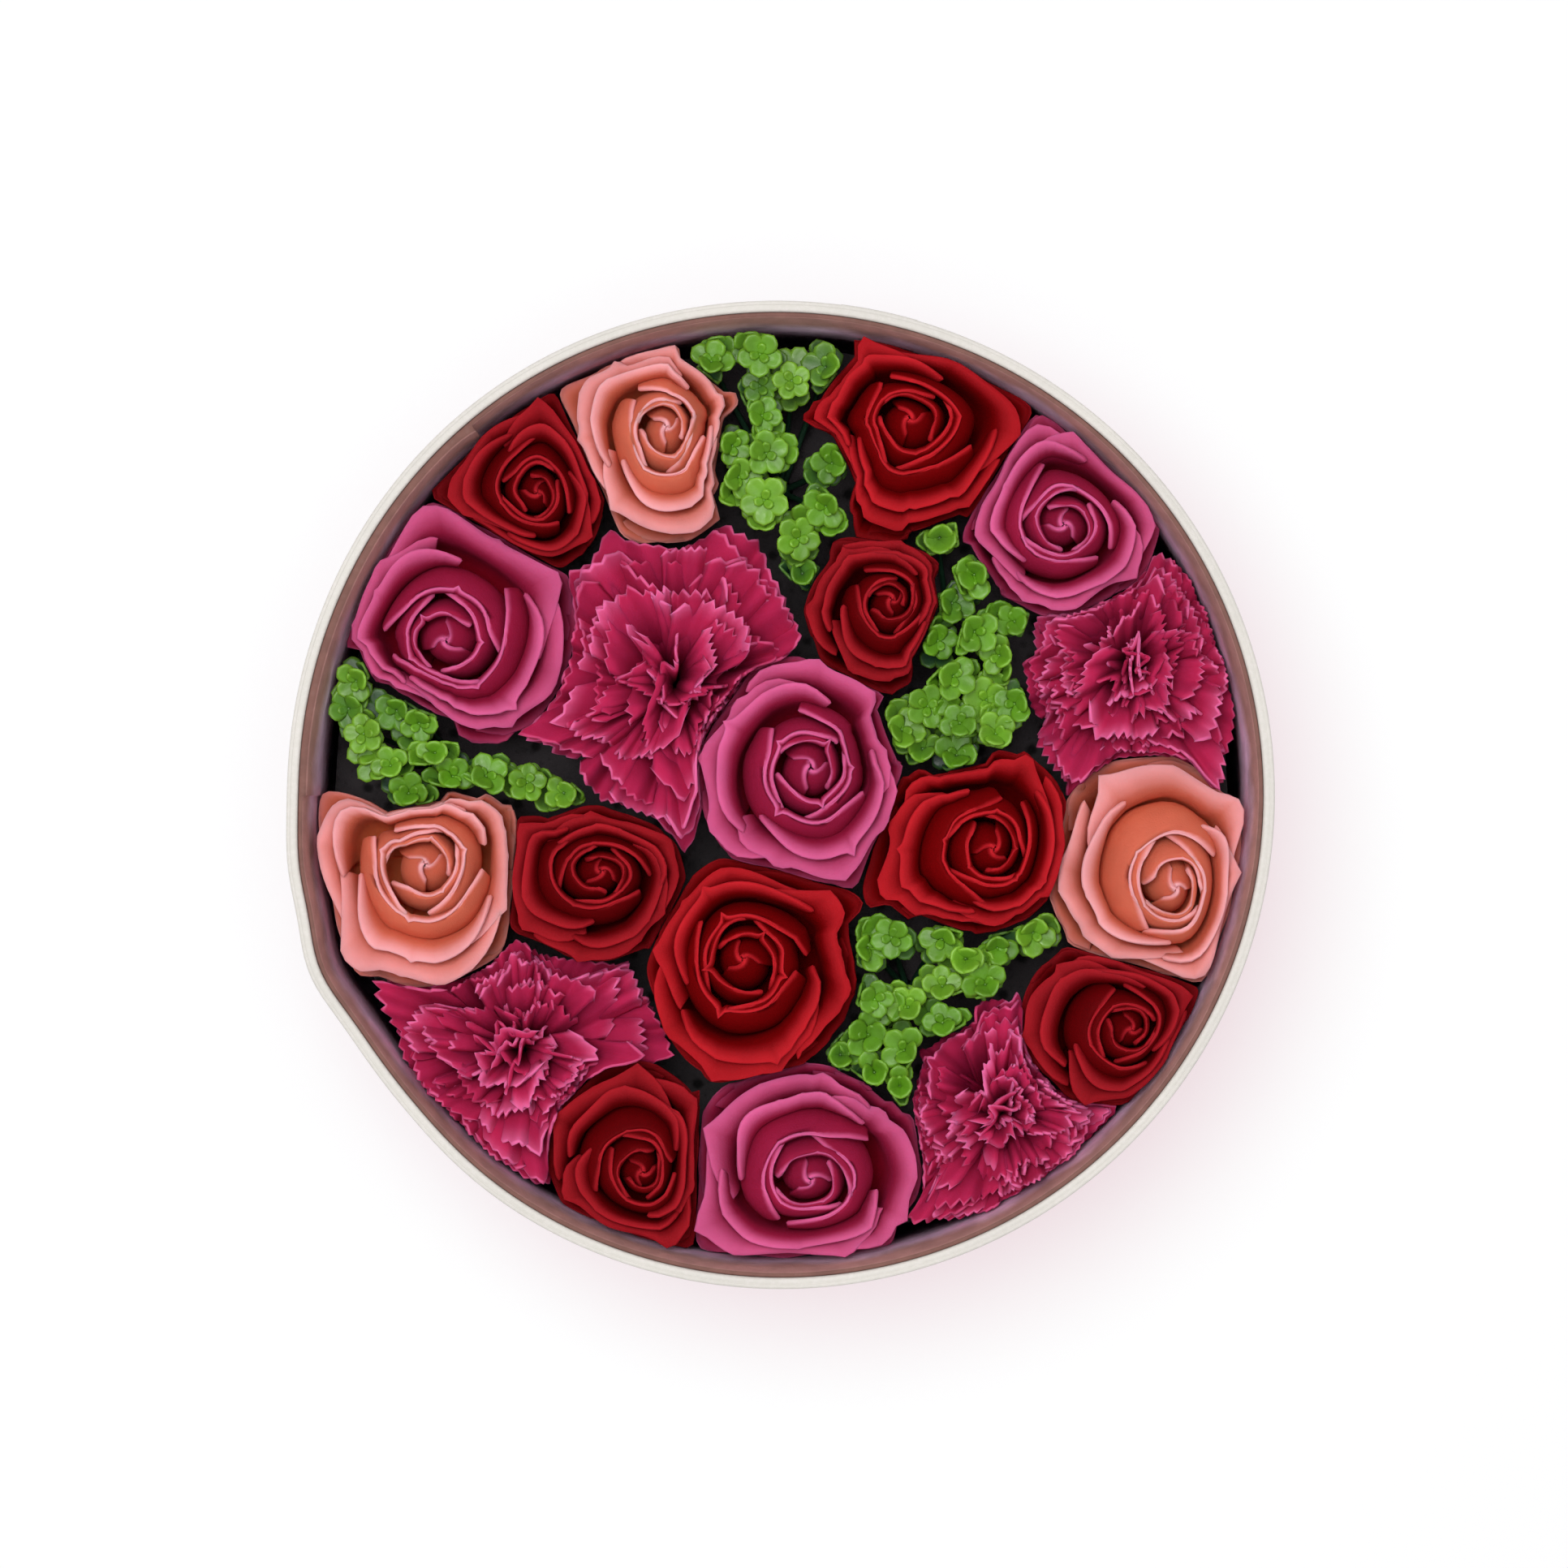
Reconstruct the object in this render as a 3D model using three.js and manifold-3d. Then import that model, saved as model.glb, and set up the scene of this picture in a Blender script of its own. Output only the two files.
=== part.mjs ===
// Round flower hat box: a wrapped board drum, open at the top, filled with roses,
// carnations and small green sprays that stand in a disc of floral foam.
// Millimetres, +Z up. The origin is the centre of the underside.
import * as THREE from 'three';
import { mergeVertices } from 'three/addons/utils/BufferGeometryUtils.js';
import Module from 'manifold-3d';

const wasm = await Module();
wasm.setup();

// Box: outer radius, height, board thickness, floor thickness, facets round it
const BOX_RADIUS = 115.8;
const BOX_HEIGHT = 100;
const WALL = 2.8;
const FLOOR = 2.5;
const SIDES = 72;
const GAP = 0.3;

// The rim is a little out of round: a wide bulge, a corner pushed out with a shoulder before it,
// and a flatter stretch behind it. Each is a bell curve at an angle, with its spread in degrees.
const BUMPS = [
  { at: 128, spread: 30, depth: 1.1 },
  { at: 189, spread: 6, depth: 1.1 },
  { at: 200.5, spread: 6, depth: 2.5 },
  { at: 220, spread: 10, depth: -0.8 },
];

// Liner strip inside the wall, doubled where its ends lap
const LINER = { thickness: 0.8, top: 99.4, lapFrom: 130, lapTo: 180 };

// Foam disc and the plain holes that the stems stand in
const FOAM = { radius: 109, bottom: 2.8, top: 55, holeRadius: 2.9, holeBottom: 32 };

// Room for the flowers inside the liner, and half the gap between two heads
const FIELD_RADIUS = 109.8;
const HALF_GAP = 0.2;

// Farthest that a petal stands out, as a multiple of its head's reach
const FULLEST = 1.12;

// Heads farther apart than this never meet. At this depth below the tops, a plane between two
// heads stands halfway between them, and above and below it leans with their heights.
const NEAR = 80;
const PLANE_DEPTH = 12;

// Least share of its radius that a head keeps towards a neighbour
const LEAST_SHARE = { rose: 0.55, carnation: 0.36 };

// Stem: peg, and the cup that carries the head
const PEG = { radius: 2.2, bottom: 33 };
const CUP = { radius: 6.4, height: 5 };

// Greenery: radius of a rosette, its reach and least room among its neighbours, radius of its
// twig, and height at which the twigs branch
const LEAF_ROSETTE = 5.9;
const LEAF_REACH = 5.6;
const LEAF_LEAST = 3.4;
const TWIG = 0.95;
const BRANCH_HEIGHT = 57.6;

// Kinds of head: depth, and the core of a rose (radius of its foot and tip) or the thickness of a
// carnation's frills and the profile of its core (radius, height)
const KINDS = {
  rose: { depth: 37, core: { foot: 0.24, tip: 0.09 } },
  small_rose: { depth: 29, core: { foot: 0.28, tip: 0.1 } },
  carnation: {
    depth: 34,
    blade: 1.3,
    core: [
      [0.2, 0], [0.26, 0.1], [0.26, 0.18], [0.22, 0.3], [0.2, 0.38],
      [0.15, 0.5], [0.13, 0.57], [0.08, 0.68], [0.06, 0.74], [0.03, 0.9],
    ],
  },
};

// Colours of the heads and the greenery
const COLOURS = {
  salmon: 0xd98a78,
  mauve: 0xb5497f,
  red: 0xb31224,
  dark_red: 0x9d0f22,
  magenta: 0xb32a6b,
  leaf: 0x5f9e2c,
  stem: 0x44662b,
};

// Heads: place, reach to the left, right, back and front, offset of the bud, height of the top,
// turn of the petals and the way they wind
const HEADS = [
  head('rose_salmon_1', 'rose', 'salmon', [-28.5, 85.5], [20.5, 18.5, 21.5, 25.5], [1, 1], 99, 40, 1),
  head('rose_salmon_2', 'rose', 'salmon', [88, -18], [24.5, 21, 27, 26.5], [5, -4], 98, 84, -1),
  head('rose_salmon_3', 'rose', 'salmon', [-84, -18], [25, 24.5, 27, 26.5], [0.5, 2], 99, 10, 1),
  head('rose_mauve_1', 'rose', 'mauve', [-76.5, 40], [26, 26, 27, 26.5], [-2.5, -4], 98, 62, 1),
  head('rose_mauve_2', 'rose', 'mauve', [65, 64.5], [23, 24, 23, 21], [1.5, -1], 98.5, 42, -1),
  head('rose_mauve_3', 'rose', 'mauve', [5, 5.5], [24, 24.5, 26.5, 26.5], [2, 1], 104, 50, 1),
  head('rose_mauve_4', 'rose', 'mauve', [6, -86.5], [26.5, 25.5, 23, 22], [1, -4], 98, 5, -1),
  head('rose_red_1', 'rose', 'red', [29, 86.5], [22, 28.5, 21.5, 27], [1, 2], 99.5, 30, 1),
  head('rose_red_2', 'rose', 'red', [46, -10.5], [21, 22, 24, 24], [4, -2], 101, 84, 1),
  head('rose_red_3', 'rose', 'red', [-7, -41], [24, 25.5, 26, 26.5], [-2, 3], 101.5, 15, -1),
  head('rose_small_1', 'small_rose', 'dark_red', [-58.5, 72], [20.5, 16, 21, 20], [1.5, -1], 98.5, 50, -1),
  head('rose_small_2', 'small_rose', 'dark_red', [23.5, 43.5], [17.5, 17, 17, 19], [2.5, 2.5], 101, 33, 1),
  head('rose_small_3', 'small_rose', 'dark_red', [-44.5, -21], [21.5, 21.5, 18, 17], [2.5, 3.5], 99, 58, -1),
  head('rose_small_4', 'small_rose', 'dark_red', [-34.5, -85], [20, 17, 21, 21], [2, -3.5], 98, 6, 1),
  head('rose_small_5', 'small_rose', 'dark_red', [77.5, -54], [20, 18.5, 20, 19], [5, -1], 98.5, 45, 1),
  head('carnation_1', 'carnation', 'magenta', [-26, 26.5], [32.5, 36, 36, 40], [1, -1], 103, 0, 1),
  head('carnation_2', 'carnation', 'magenta', [83, 30.5], [27.5, 24, 28.5, 26.5], [0, 0], 99.5, 25, 1),
  head('carnation_3', 'carnation', 'magenta', [-61.5, -59], [32, 36, 26.5, 34], [0, -2], 99.5, 50, 1),
  head('carnation_4', 'carnation', 'magenta', [52.5, -77], [28.5, 24.5, 34, 24.5], [0, 4], 99, 75, 1),
];

// Sprays: where the main stem stands, and the place and height of each rosette of leaves
const SPRAYS = [
  {
    name: 'green_spray_1',
    root: [0, 74],
    rosettes: [
      [-16.5, 102.5, 92], [-5, 104, 94], [2.5, 98, 91], [-5, 97, 89], [-4.5, 89.5, 95],
      [-11.5, 82.5, 92], [-3.5, 80.5, 96], [-10, 75, 94], [-4, 69.5, 95], [12, 78.5, 91],
      [10.5, 68, 96], [4, 60.5, 94], [5, 52.5, 88], [10.5, 101.5, 88],
    ],
  },
  {
    name: 'green_spray_2',
    root: [43, 27],
    rosettes: [
      [45.5, 52, 95], [40.5, 45.5, 89], [45.5, 38.5, 96], [37, 36.5, 92], [55, 41, 94],
      [40.5, 28, 96], [51.5, 33, 93], [34.5, 21, 95], [42, 17, 97], [48.5, 22.5, 92],
      [55, 21.5, 95], [28.5, 15.5, 92], [50.5, 14.5, 95], [33.5, 11, 89], [41.5, 9.5, 91],
      [37.5, 61, 89],
    ],
  },
  {
    name: 'green_spray_3',
    root: [-78, 7],
    rosettes: [
      [-100.5, 27, 91], [-102.5, 20.5, 89], [-98.5, 14.5, 94], [-91, 20, 90], [-85.5, 17, 92],
      [-92, 7, 95], [-81.5, 10, 96], [-88, 0.5, 92], [-77.5, 4.5, 93], [-69.5, 4.5, 95],
      [-60, 3, 92], [-51.5, 0.5, 89],
    ],
  },
  {
    name: 'green_spray_4',
    root: [31, -48],
    rosettes: [
      [20.5, -36, 92], [26, -33.5, 95], [38, -34, 92], [43.5, -38.5, 95], [51, -36, 92],
      [48, -44.5, 96], [38, -45, 94], [22, -48, 96], [30, -50, 93], [38, -53.5, 96],
      [20.5, -56.5, 92], [29, -60, 96], [22, -65.5, 92], [28, -68.5, 94], [14, -61.5, 89],
      [59.5, -32.5, 91],
    ],
  },
];

function head(name, kind, colour, [x, y], reach, bud, top, turn, wind) {
  const { depth, blade, core } = KINDS[kind];
  const radius = reach.reduce((sum, r) => sum + r, 0) / 4;
  const frilled = kind === 'carnation';
  const rank = frilled ? 1 : 2;
  const least = radius * (frilled ? LEAST_SHARE.carnation : LEAST_SHARE.rose);
  const bottom = top - depth;
  return {
    name, kind, colour, x, y, reach, bud, top, turn, wind, depth, blade, core, radius, rank, least, bottom,
  };
}

// Solids

function solid(points, triangles) {
  const vertProperties = new Float32Array(points.flatMap((p) => [p.x, p.y, p.z]));
  const triVerts = new Uint32Array(triangles.flat());
  return new wasm.Manifold(new wasm.Mesh({ numProp: 3, vertProperties, triVerts }));
}

// Solid of a closed geometry, its shared points merged
function solidOf(geometry) {
  geometry.deleteAttribute('normal');
  geometry.deleteAttribute('uv');
  const merged = mergeVertices(geometry, 1e-4);
  const { array } = merged.attributes.position;
  const corners = Array.from(merged.index.array);
  const triangles = [];
  for (let i = 0; i < corners.length; i += 3) {
    const [p, q, r] = corners.slice(i, i + 3);
    if (p !== q && q !== r && r !== p) triangles.push(p, q, r);
  }
  const mesh = new wasm.Mesh({ numProp: 3, vertProperties: array, triVerts: new Uint32Array(triangles) });
  return new wasm.Manifold(mesh);
}

function unite(solids) {
  return solids.reduce((sum, next) => sum.add(next));
}

// Triangles between two rows of point numbers, of the same or different length
function strip(inner, outer, flipped) {
  const triangles = [];
  const share = (index, row) => (index + 0.5) / (row.length - 1);
  let i = 0;
  let j = 0;
  while (i < inner.length - 1 || j < outer.length - 1) {
    const innerLags = i < inner.length - 1 && share(i, inner) <= share(j, outer);
    if (j === outer.length - 1 || innerLags) {
      triangles.push([inner[i], inner[i + 1], outer[j]]);
      i += 1;
    } else {
      triangles.push([inner[i], outer[j + 1], outer[j]]);
      j += 1;
    }
  }
  return flipped ? triangles.map(([p, q, r]) => [p, r, q]) : triangles;
}

function girth(loop) {
  return loop.reduce((sum, point, i) => sum + point.distanceTo(loop[(i + 1) % loop.length]), 0);
}

// Numbers the points of rows one after the other
function numbered(rows) {
  let first = 0;
  return rows.map((row) => {
    const numbers = row.map((_, i) => first + i);
    first += row.length;
    return numbers;
  });
}

// Triangles from each closed loop to the next. The loops run anticlockwise seen from the side
// that the skin grows to, and the shorter loop of two always leads the cut into triangles.
function sleeve(loops, numbers) {
  const triangles = [];
  for (let row = 0; row < loops.length - 1; row += 1) {
    const [low, high] = [numbers[row], numbers[row + 1]].map((loop) => [...loop, loop[0]]);
    const lowLeads = girth(loops[row]) <= girth(loops[row + 1]);
    triangles.push(...(lowLeads ? strip(low, high, false) : strip(high, low, true)));
  }
  return triangles;
}

// Flat end of a skin: a fan from its first point, or from a middle point
function fan(loop, middle, flipped) {
  const hub = middle ?? loop[0];
  const rim = middle === undefined ? loop.slice(1) : [...loop, loop[0]];
  const triangles = rim.slice(1).map((point, i) => [hub, rim[i], point]);
  return flipped ? triangles.map(([p, q, r]) => [p, r, q]) : triangles;
}

// Solid through a row of closed loops of any length, closed at both ends
function skin(loops, crown) {
  const numbers = numbered(loops);
  const points = loops.flat();
  const triangles = [...sleeve(loops, numbers), ...fan(numbers[0], undefined, true)];
  if (crown) points.push(crown);
  triangles.push(...fan(numbers[numbers.length - 1], crown ? points.length - 1 : undefined, false));
  return solid(points, triangles);
}

function circle(x, y, z, radius, sides, turn = 0) {
  return Array.from({ length: sides }, (_, i) => {
    const angle = turn + (2 * Math.PI * i) / sides;
    return new THREE.Vector3(x + radius * Math.cos(angle), y + radius * Math.sin(angle), z);
  });
}

// Box

function bulge(degrees) {
  const bell = ({ at, spread, depth }) => depth * Math.exp(-(((degrees - at) / spread) ** 2));
  return BUMPS.reduce((sum, bump) => sum + bell(bump), 0);
}

// Outline of the box, set in from the outside of the wall
function outline(inset) {
  return Array.from({ length: SIDES }, (_, i) => {
    const degrees = (360 * i) / SIDES;
    const depth = typeof inset === 'function' ? inset(degrees) : inset;
    const radius = BOX_RADIUS + bulge(degrees) - depth;
    const angle = THREE.MathUtils.degToRad(degrees);
    return new THREE.Vector2(radius * Math.cos(angle), radius * Math.sin(angle));
  });
}

function extruded(outer, inner, bottom, top) {
  const shape = new THREE.Shape(outer);
  if (inner) shape.holes.push(new THREE.Path(inner));
  const geometry = new THREE.ExtrudeGeometry(shape, { depth: top - bottom, bevelEnabled: false });
  return geometry.translate(0, 0, bottom);
}

function boxWall() {
  return extruded(outline(0), outline(WALL), 0, BOX_HEIGHT);
}

function boxBase() {
  return extruded(outline(WALL + GAP), null, 0, FLOOR);
}

function liner() {
  const outer = WALL + GAP;
  const inner = (degrees) => {
    const lapped = degrees >= LINER.lapFrom && degrees <= LINER.lapTo;
    return outer + LINER.thickness * (lapped ? 2 : 1);
  };
  return extruded(outline(outer), outline(inner), FLOOR + GAP, LINER.top);
}

// Upright cylinder as a solid
function cylinder(x, y, bottom, top, radius, sides) {
  const geometry = new THREE.CylinderGeometry(radius, radius, top - bottom, sides);
  return solidOf(geometry.rotateX(Math.PI / 2).translate(x, y, (bottom + top) / 2));
}

function foam() {
  const { radius, bottom, top, holeRadius, holeBottom } = FOAM;
  const places = [...HEADS.map(({ x, y }) => [x, y]), ...SPRAYS.map(({ root }) => root)];
  const holes = places.map(([x, y]) => cylinder(x, y, holeBottom, top + 1, holeRadius, 8));
  return cylinder(0, 0, bottom, top, radius, 48).subtract(unite(holes));
}

// Room of each head and rosette: planes between neighbours. Where a carnation lies against a
// rose, the rose keeps its reach and the carnation follows its outline.

function reachOf(item, dx, dy) {
  const length = Math.hypot(dx, dy) || 1;
  const [left, right, back, front] = item.reach;
  const across = dx < 0 ? left : right;
  const along = dy < 0 ? front : back;
  return 1 / Math.hypot(dx / length / across, dy / length / along);
}

function planeBetween(self, other, level) {
  const dx = other.x - self.x;
  const dy = other.y - self.y;
  const dz = level ? 0 : other.top - self.top;
  const apart = Math.hypot(dx, dy, dz);
  const mine = reachOf(self, dx, dy);
  const theirs = reachOf(other, -dx, -dy);
  const meets = mine + theirs > apart;
  let share = (apart ** 2 + mine ** 2 - theirs ** 2) / (2 * apart);
  if (meets && self.rank > other.rank) share = mine;
  if (meets && self.rank < other.rank) share = apart - theirs;
  const least = Math.min(self.least, apart / 2);
  const most = apart - Math.min(other.least, apart / 2);
  const distance = Math.min(Math.max(share, least), most) - HALF_GAP;
  const rose = self.rank > 0 && self.rank < other.rank ? other : null;
  return { x: dx / apart, y: dy / apart, z: dz / apart, distance, rose };
}

function isNear(self, other) {
  return other !== self && Math.hypot(other.x - self.x, other.y - self.y) < NEAR;
}

function planesRound(self, rosettes) {
  const near = (other) => isNear(self, other);
  return [
    ...HEADS.filter(near).map((other) => planeBetween(self, other, false)),
    ...rosettes.filter(near).map((other) => planeBetween(self, other, true)),
  ];
}

// How far ahead of an item and how far aside another one lies, seen in one direction, and the
// reach of that other one towards the nearest point of the line
function lineBeside(item, other, ux, uy) {
  const x = other.x - item.x;
  const y = other.y - item.y;
  const ahead = x * ux + y * uy;
  const aside = Math.abs(x * uy - y * ux);
  return { x, y, ahead, aside, edge: reachOf(other, ahead * ux - x, ahead * uy - y) };
}

// Distance from the axis of a carnation to the outline of a rose, in one direction. A line that
// passes beside the outline ends farther out the wider it passes.
function toOutline(item, rose, ux, uy) {
  const { x, y, ahead, aside, edge } = lineBeside(item, rose, ux, uy);
  if (ahead <= 0) return Infinity;
  let reach = edge;
  for (let i = 0; i < 4; i += 1) {
    const meet = ahead - Math.sqrt(Math.max(reach ** 2 - aside ** 2, 0));
    reach = reachOf(rose, meet * ux - x, meet * uy - y);
  }
  reach += 2 * HALF_GAP;
  return ahead - Math.sqrt(Math.max(reach ** 2 - aside ** 2, 0)) + 4 * Math.max(aside - reach, 0);
}

// Distance from the axis of an item to the edge of its room, in one direction at one height
function roomAt(item, ux, uy, z) {
  const middle = item.top - PLANE_DEPTH;
  let room = Infinity;
  for (const plane of item.planes) {
    const slope = plane.x * ux + plane.y * uy;
    const left = slope > 1e-6 ? (plane.distance - plane.z * (z - middle)) / slope : Infinity;
    room = Math.min(room, plane.rose ? Math.max(left, toOutline(item, plane.rose, ux, uy)) : left);
  }
  for (const frill of item.frills) {
    const { ahead, aside, edge } = lineBeside(item, frill, ux, uy);
    const own = reachOf(item, ux, uy) + 2 * Math.max(aside - FULLEST * edge - 2, 0);
    if (ahead > 0) room = Math.min(room, own);
  }
  const along = item.x * ux + item.y * uy;
  const across = item.x ** 2 + item.y ** 2;
  return Math.min(room, -along + Math.sqrt(along ** 2 + FIELD_RADIUS ** 2 - across));
}

// Moves a point of a head or rosette towards its axis until it stands in its room
function fitted(item, x, y, z) {
  const dx = x - item.x;
  const dy = y - item.y;
  const distance = Math.hypot(dx, dy);
  if (distance < 1e-6) return new THREE.Vector3(x, y, z);
  const reach = FULLEST * reachOf(item, dx, dy);
  const room = roomAt(item, dx / distance, dy / distance, z);
  const part = Math.min(distance / reach, 1);
  const moved = room < reach ? room * (1 - (1 - part) ** (reach / room)) : distance;
  return new THREE.Vector3(item.x + (dx * moved) / distance, item.y + (dy * moved) / distance, z);
}

// Point of a head: distance from the axis, angle and height above the head's foot. The bud
// leans towards its offset, and the outermost petals stay.
function headPoint(item, r, angle, h) {
  const ux = Math.cos(angle);
  const uy = Math.sin(angle);
  const part = r / item.radius;
  const reach = part * reachOf(item, ux, uy);
  const lean = Math.max(1 - part ** 2, 0) * (h / item.depth);
  const x = item.x + ux * reach + item.bud[0] * lean;
  const y = item.y + uy * reach + item.bud[1] * lean;
  return fitted(item, x, y, item.bottom + h);
}

// Heads

// Closed loop round the axis of a head, at a part of its radius and depth
function headLoop(item, r, h, sides) {
  return Array.from({ length: sides }, (_, i) => (
    headPoint(item, r * item.radius, (2 * Math.PI * i) / sides, h * item.depth)
  ));
}

// Unit normal of a profile at a row, in the plane of radius and height
function profileNormal(item, rows, row) {
  const from = rows[Math.max(row - 1, 0)];
  const to = rows[Math.min(row + 1, rows.length - 1)];
  const dr = (to.r - from.r) * item.radius;
  const dh = (to.h - from.h) * item.depth;
  const length = Math.hypot(dr, dh);
  return { r: dh / length, h: -dr / length };
}

// Layers of petals, from the outermost in. Each holds the turn of its petals, their thickness,
// the root on the core (radius, lower and upper height), the rows of the blade (radius, height,
// half width as a share of the spacing), what the rim adds to its last row from the tucked edge
// to the free edge (radius, height), and how far a petal winds outward.
const COLUMNS = [-1, -0.5, 0, 0.5, 1];
const GUARD = {
  turn: 0,
  blade: 1.5,
  root: { r: 0.27, low: 0.04, high: 0.1 },
  rows: [{ r: 0.82, h: 0.42, half: 0.44 }, { r: 1.04, h: 0.82, half: 0.64 }],
  rim: [[-0.07, -0.09], [0.02, -0.01], [-0.02, 0.02], [0.04, -0.01], [0.03, -0.09]],
  wind: 1.7,
};
const MIDDLE = {
  turn: 25,
  blade: 1.3,
  root: { r: 0.24, low: 0.2, high: 0.26 },
  rows: [{ r: 0.57, h: 0.56, half: 0.42 }, { r: 0.66, h: 0.9, half: 0.5 }],
  rim: [[-0.02, -0.12], [0, -0.03], [0.03, 0.02], [0.02, -0.03], [0.02, -0.12]],
  wind: 1,
};
const BUD = {
  turn: 70,
  blade: 1.1,
  root: { r: 0.17, low: 0.36, high: 0.42 },
  rows: [{ r: 0.4, h: 0.68, half: 0.46 }, { r: 0.28, h: 0.97, half: 0.53 }],
  rim: [[-0.02, -0.08], [-0.01, -0.02], [0.02, 0.03], [0.01, -0.02], [0.01, -0.08]],
  wind: 1.1,
};
const LAYERS = {
  rose: [{ ...GUARD, count: 5 }, { ...MIDDLE, count: 3 }, { ...BUD, count: 3 }],
  small_rose: [{ ...GUARD, count: 4 }, { ...BUD, count: 3 }],
};

// Points of a petal's two faces above its root, from its low-angle edge to the other
function petalFace(item, layer, at, side) {
  const profile = [{ r: layer.root.r, h: layer.root.high }, ...layer.rows];
  return layer.rows.map((row, index) => COLUMNS.map((u, column) => {
    const normal = profileNormal(item, profile, index + 1);
    const last = index === layer.rows.length - 1;
    const [tipR, tipH] = last ? layer.rim[item.wind > 0 ? column : 4 - column] : [0, 0];
    const out = (side * layer.blade) / 2;
    const r = (row.r + tipR) * item.radius + item.wind * layer.wind * u + out * normal.r;
    const h = (row.h + tipH) * item.depth + out * normal.h;
    return headPoint(item, r, at + (2 * Math.PI * row.half * u) / layer.count, h);
  }));
}

// Triangles of a blade that grows from two rows of its root
function bladeTriangles(front, back) {
  const triangles = [];
  for (let row = 0; row < front.length - 1; row += 1) {
    triangles.push(...strip(front[row], front[row + 1], false), ...strip(back[row], back[row + 1], true));
  }
  const edge = (face, column) => face.map((row) => row.at(column));
  triangles.push(...strip(front.at(-1), back.at(-1), false));
  triangles.push(...strip(edge(front, 0), edge(back, 0), false));
  triangles.push(...strip(edge(back, -1), edge(front, -1), false));
  return triangles;
}

// Rose: the core and its petals are one skin, each side of a ring of the core being the root
// of a petal
function rose(item) {
  const points = [];
  const triangles = [];
  const add = (row) => row.map((point) => points.push(point) - 1);
  const addRing = (r, h, count, start) => ({
    count,
    start,
    points: add(Array.from({ length: count }, (_, i) => (
      headPoint(item, r * item.radius, start + (2 * Math.PI * i) / count, h * item.depth)
    ))),
  });
  const join = (low, high) => {
    const turns = Math.round(((low.start - high.start) * high.count) / (2 * Math.PI));
    const shift = ((turns % high.count) + high.count) % high.count;
    const turned = [...high.points.slice(shift), ...high.points.slice(0, shift)];
    const closed = [[...low.points, low.points[0]], [...turned, turned[0]]];
    triangles.push(...strip(...closed, false));
  };
  const layers = LAYERS[item.kind];
  const first = THREE.MathUtils.degToRad(item.turn);
  let below = addRing(item.core.foot, 0, layers[0].count, first);
  triangles.push(...fan(below.points, undefined, true));
  layers.forEach((layer) => {
    const start = first + THREE.MathUtils.degToRad(layer.turn * item.wind);
    const low = addRing(layer.root.r, layer.root.low, layer.count, start);
    const high = addRing(layer.root.r, layer.root.high, layer.count, start);
    join(below, low);
    below = high;
    for (let i = 0; i < layer.count; i += 1) {
      const at = start + (2 * Math.PI * (i + 0.5)) / layer.count;
      const root = (ringRow) => [ringRow.points[i], ringRow.points[(i + 1) % layer.count]];
      const front = petalFace(item, layer, at, 1).map(add);
      const back = petalFace(item, layer, at, -1).map(add);
      triangles.push(...bladeTriangles([root(low), ...front], [root(high), ...back]));
    }
  });
  const crown = addRing(item.core.tip, 0.94, below.count, below.start);
  join(below, crown);
  triangles.push(...fan(crown.points, undefined, false));
  return solid(points, triangles);
}

// Frills of a carnation, from the lowest up: facets round it, waves, how far they rise, and
// the rows of the blade (radius, height)
const FRILLS = [
  { segments: 36, waves: 9, rise: 0.1, rows: [{ r: 0.72, h: 0.42 }, { r: 1.08, h: 0.74 }] },
  { segments: 30, waves: 7, rise: 0.09, rows: [{ r: 0.53, h: 0.58 }, { r: 0.82, h: 0.86 }] },
  { segments: 22, waves: 5, rise: 0.07, rows: [{ r: 0.34, h: 0.72 }, { r: 0.55, h: 0.94 }] },
  { segments: 12, waves: 3, rise: 0.05, rows: [{ r: 0.16, h: 0.86 }, { r: 0.28, h: 0.99 }] },
];
const CARNATION_SIDES = 8;

// Loops of a frill: its under face, its edge cut to points, and its upper face
function frillLoops(item, { segments, waves, rise, rows }) {
  const loop = (index, side) => Array.from({ length: segments }, (_, i) => {
    const angle = (2 * Math.PI * i) / segments;
    const row = rows[index];
    const normal = profileNormal(item, rows, index);
    const grown = (index + 1) / rows.length;
    const phase = item.turn + rows[0].h * 20;
    const wave = 0.7 * Math.sin(waves * angle + phase) + 0.3 * Math.sin((waves + 4) * angle - phase);
    const tooth = index && i % 2 === 0 ? -0.08 : 0;
    const out = (side * item.blade) / 2;
    const r = (row.r + tooth + 0.06 * grown * wave) * item.radius + out * normal.r;
    const h = (row.h + rise * grown * wave) * item.depth + out * normal.h;
    return headPoint(item, r, angle, h);
  });
  return [loop(0, 1), loop(1, 1), loop(1, -1), loop(0, -1)];
}

// Carnation: one skin that runs up the core and out and back over each frill
function carnation(item) {
  const cores = item.core.map(([r, h]) => headLoop(item, r, h, CARNATION_SIDES));
  const loops = [cores[0]];
  FRILLS.forEach((frill, i) => loops.push(cores[2 * i + 1], ...frillLoops(item, frill), cores[2 * i + 2]));
  return skin([...loops, cores.at(-1)]);
}

function headSolid(item) {
  return item.kind === 'carnation' ? carnation(item) : rose(item);
}

// Stems

function stem({ x, y, bottom }) {
  const top = bottom - GAP;
  const profile = [
    [0, PEG.bottom],
    [PEG.radius, PEG.bottom],
    [PEG.radius, top - CUP.height],
    [CUP.radius, top - CUP.height / 3],
    [CUP.radius, top],
    [0, top],
  ].map(([r, z]) => new THREE.Vector2(r, z));
  return new THREE.LatheGeometry(profile, 6).rotateX(Math.PI / 2).translate(x, y, 0);
}

// Greenery

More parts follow.
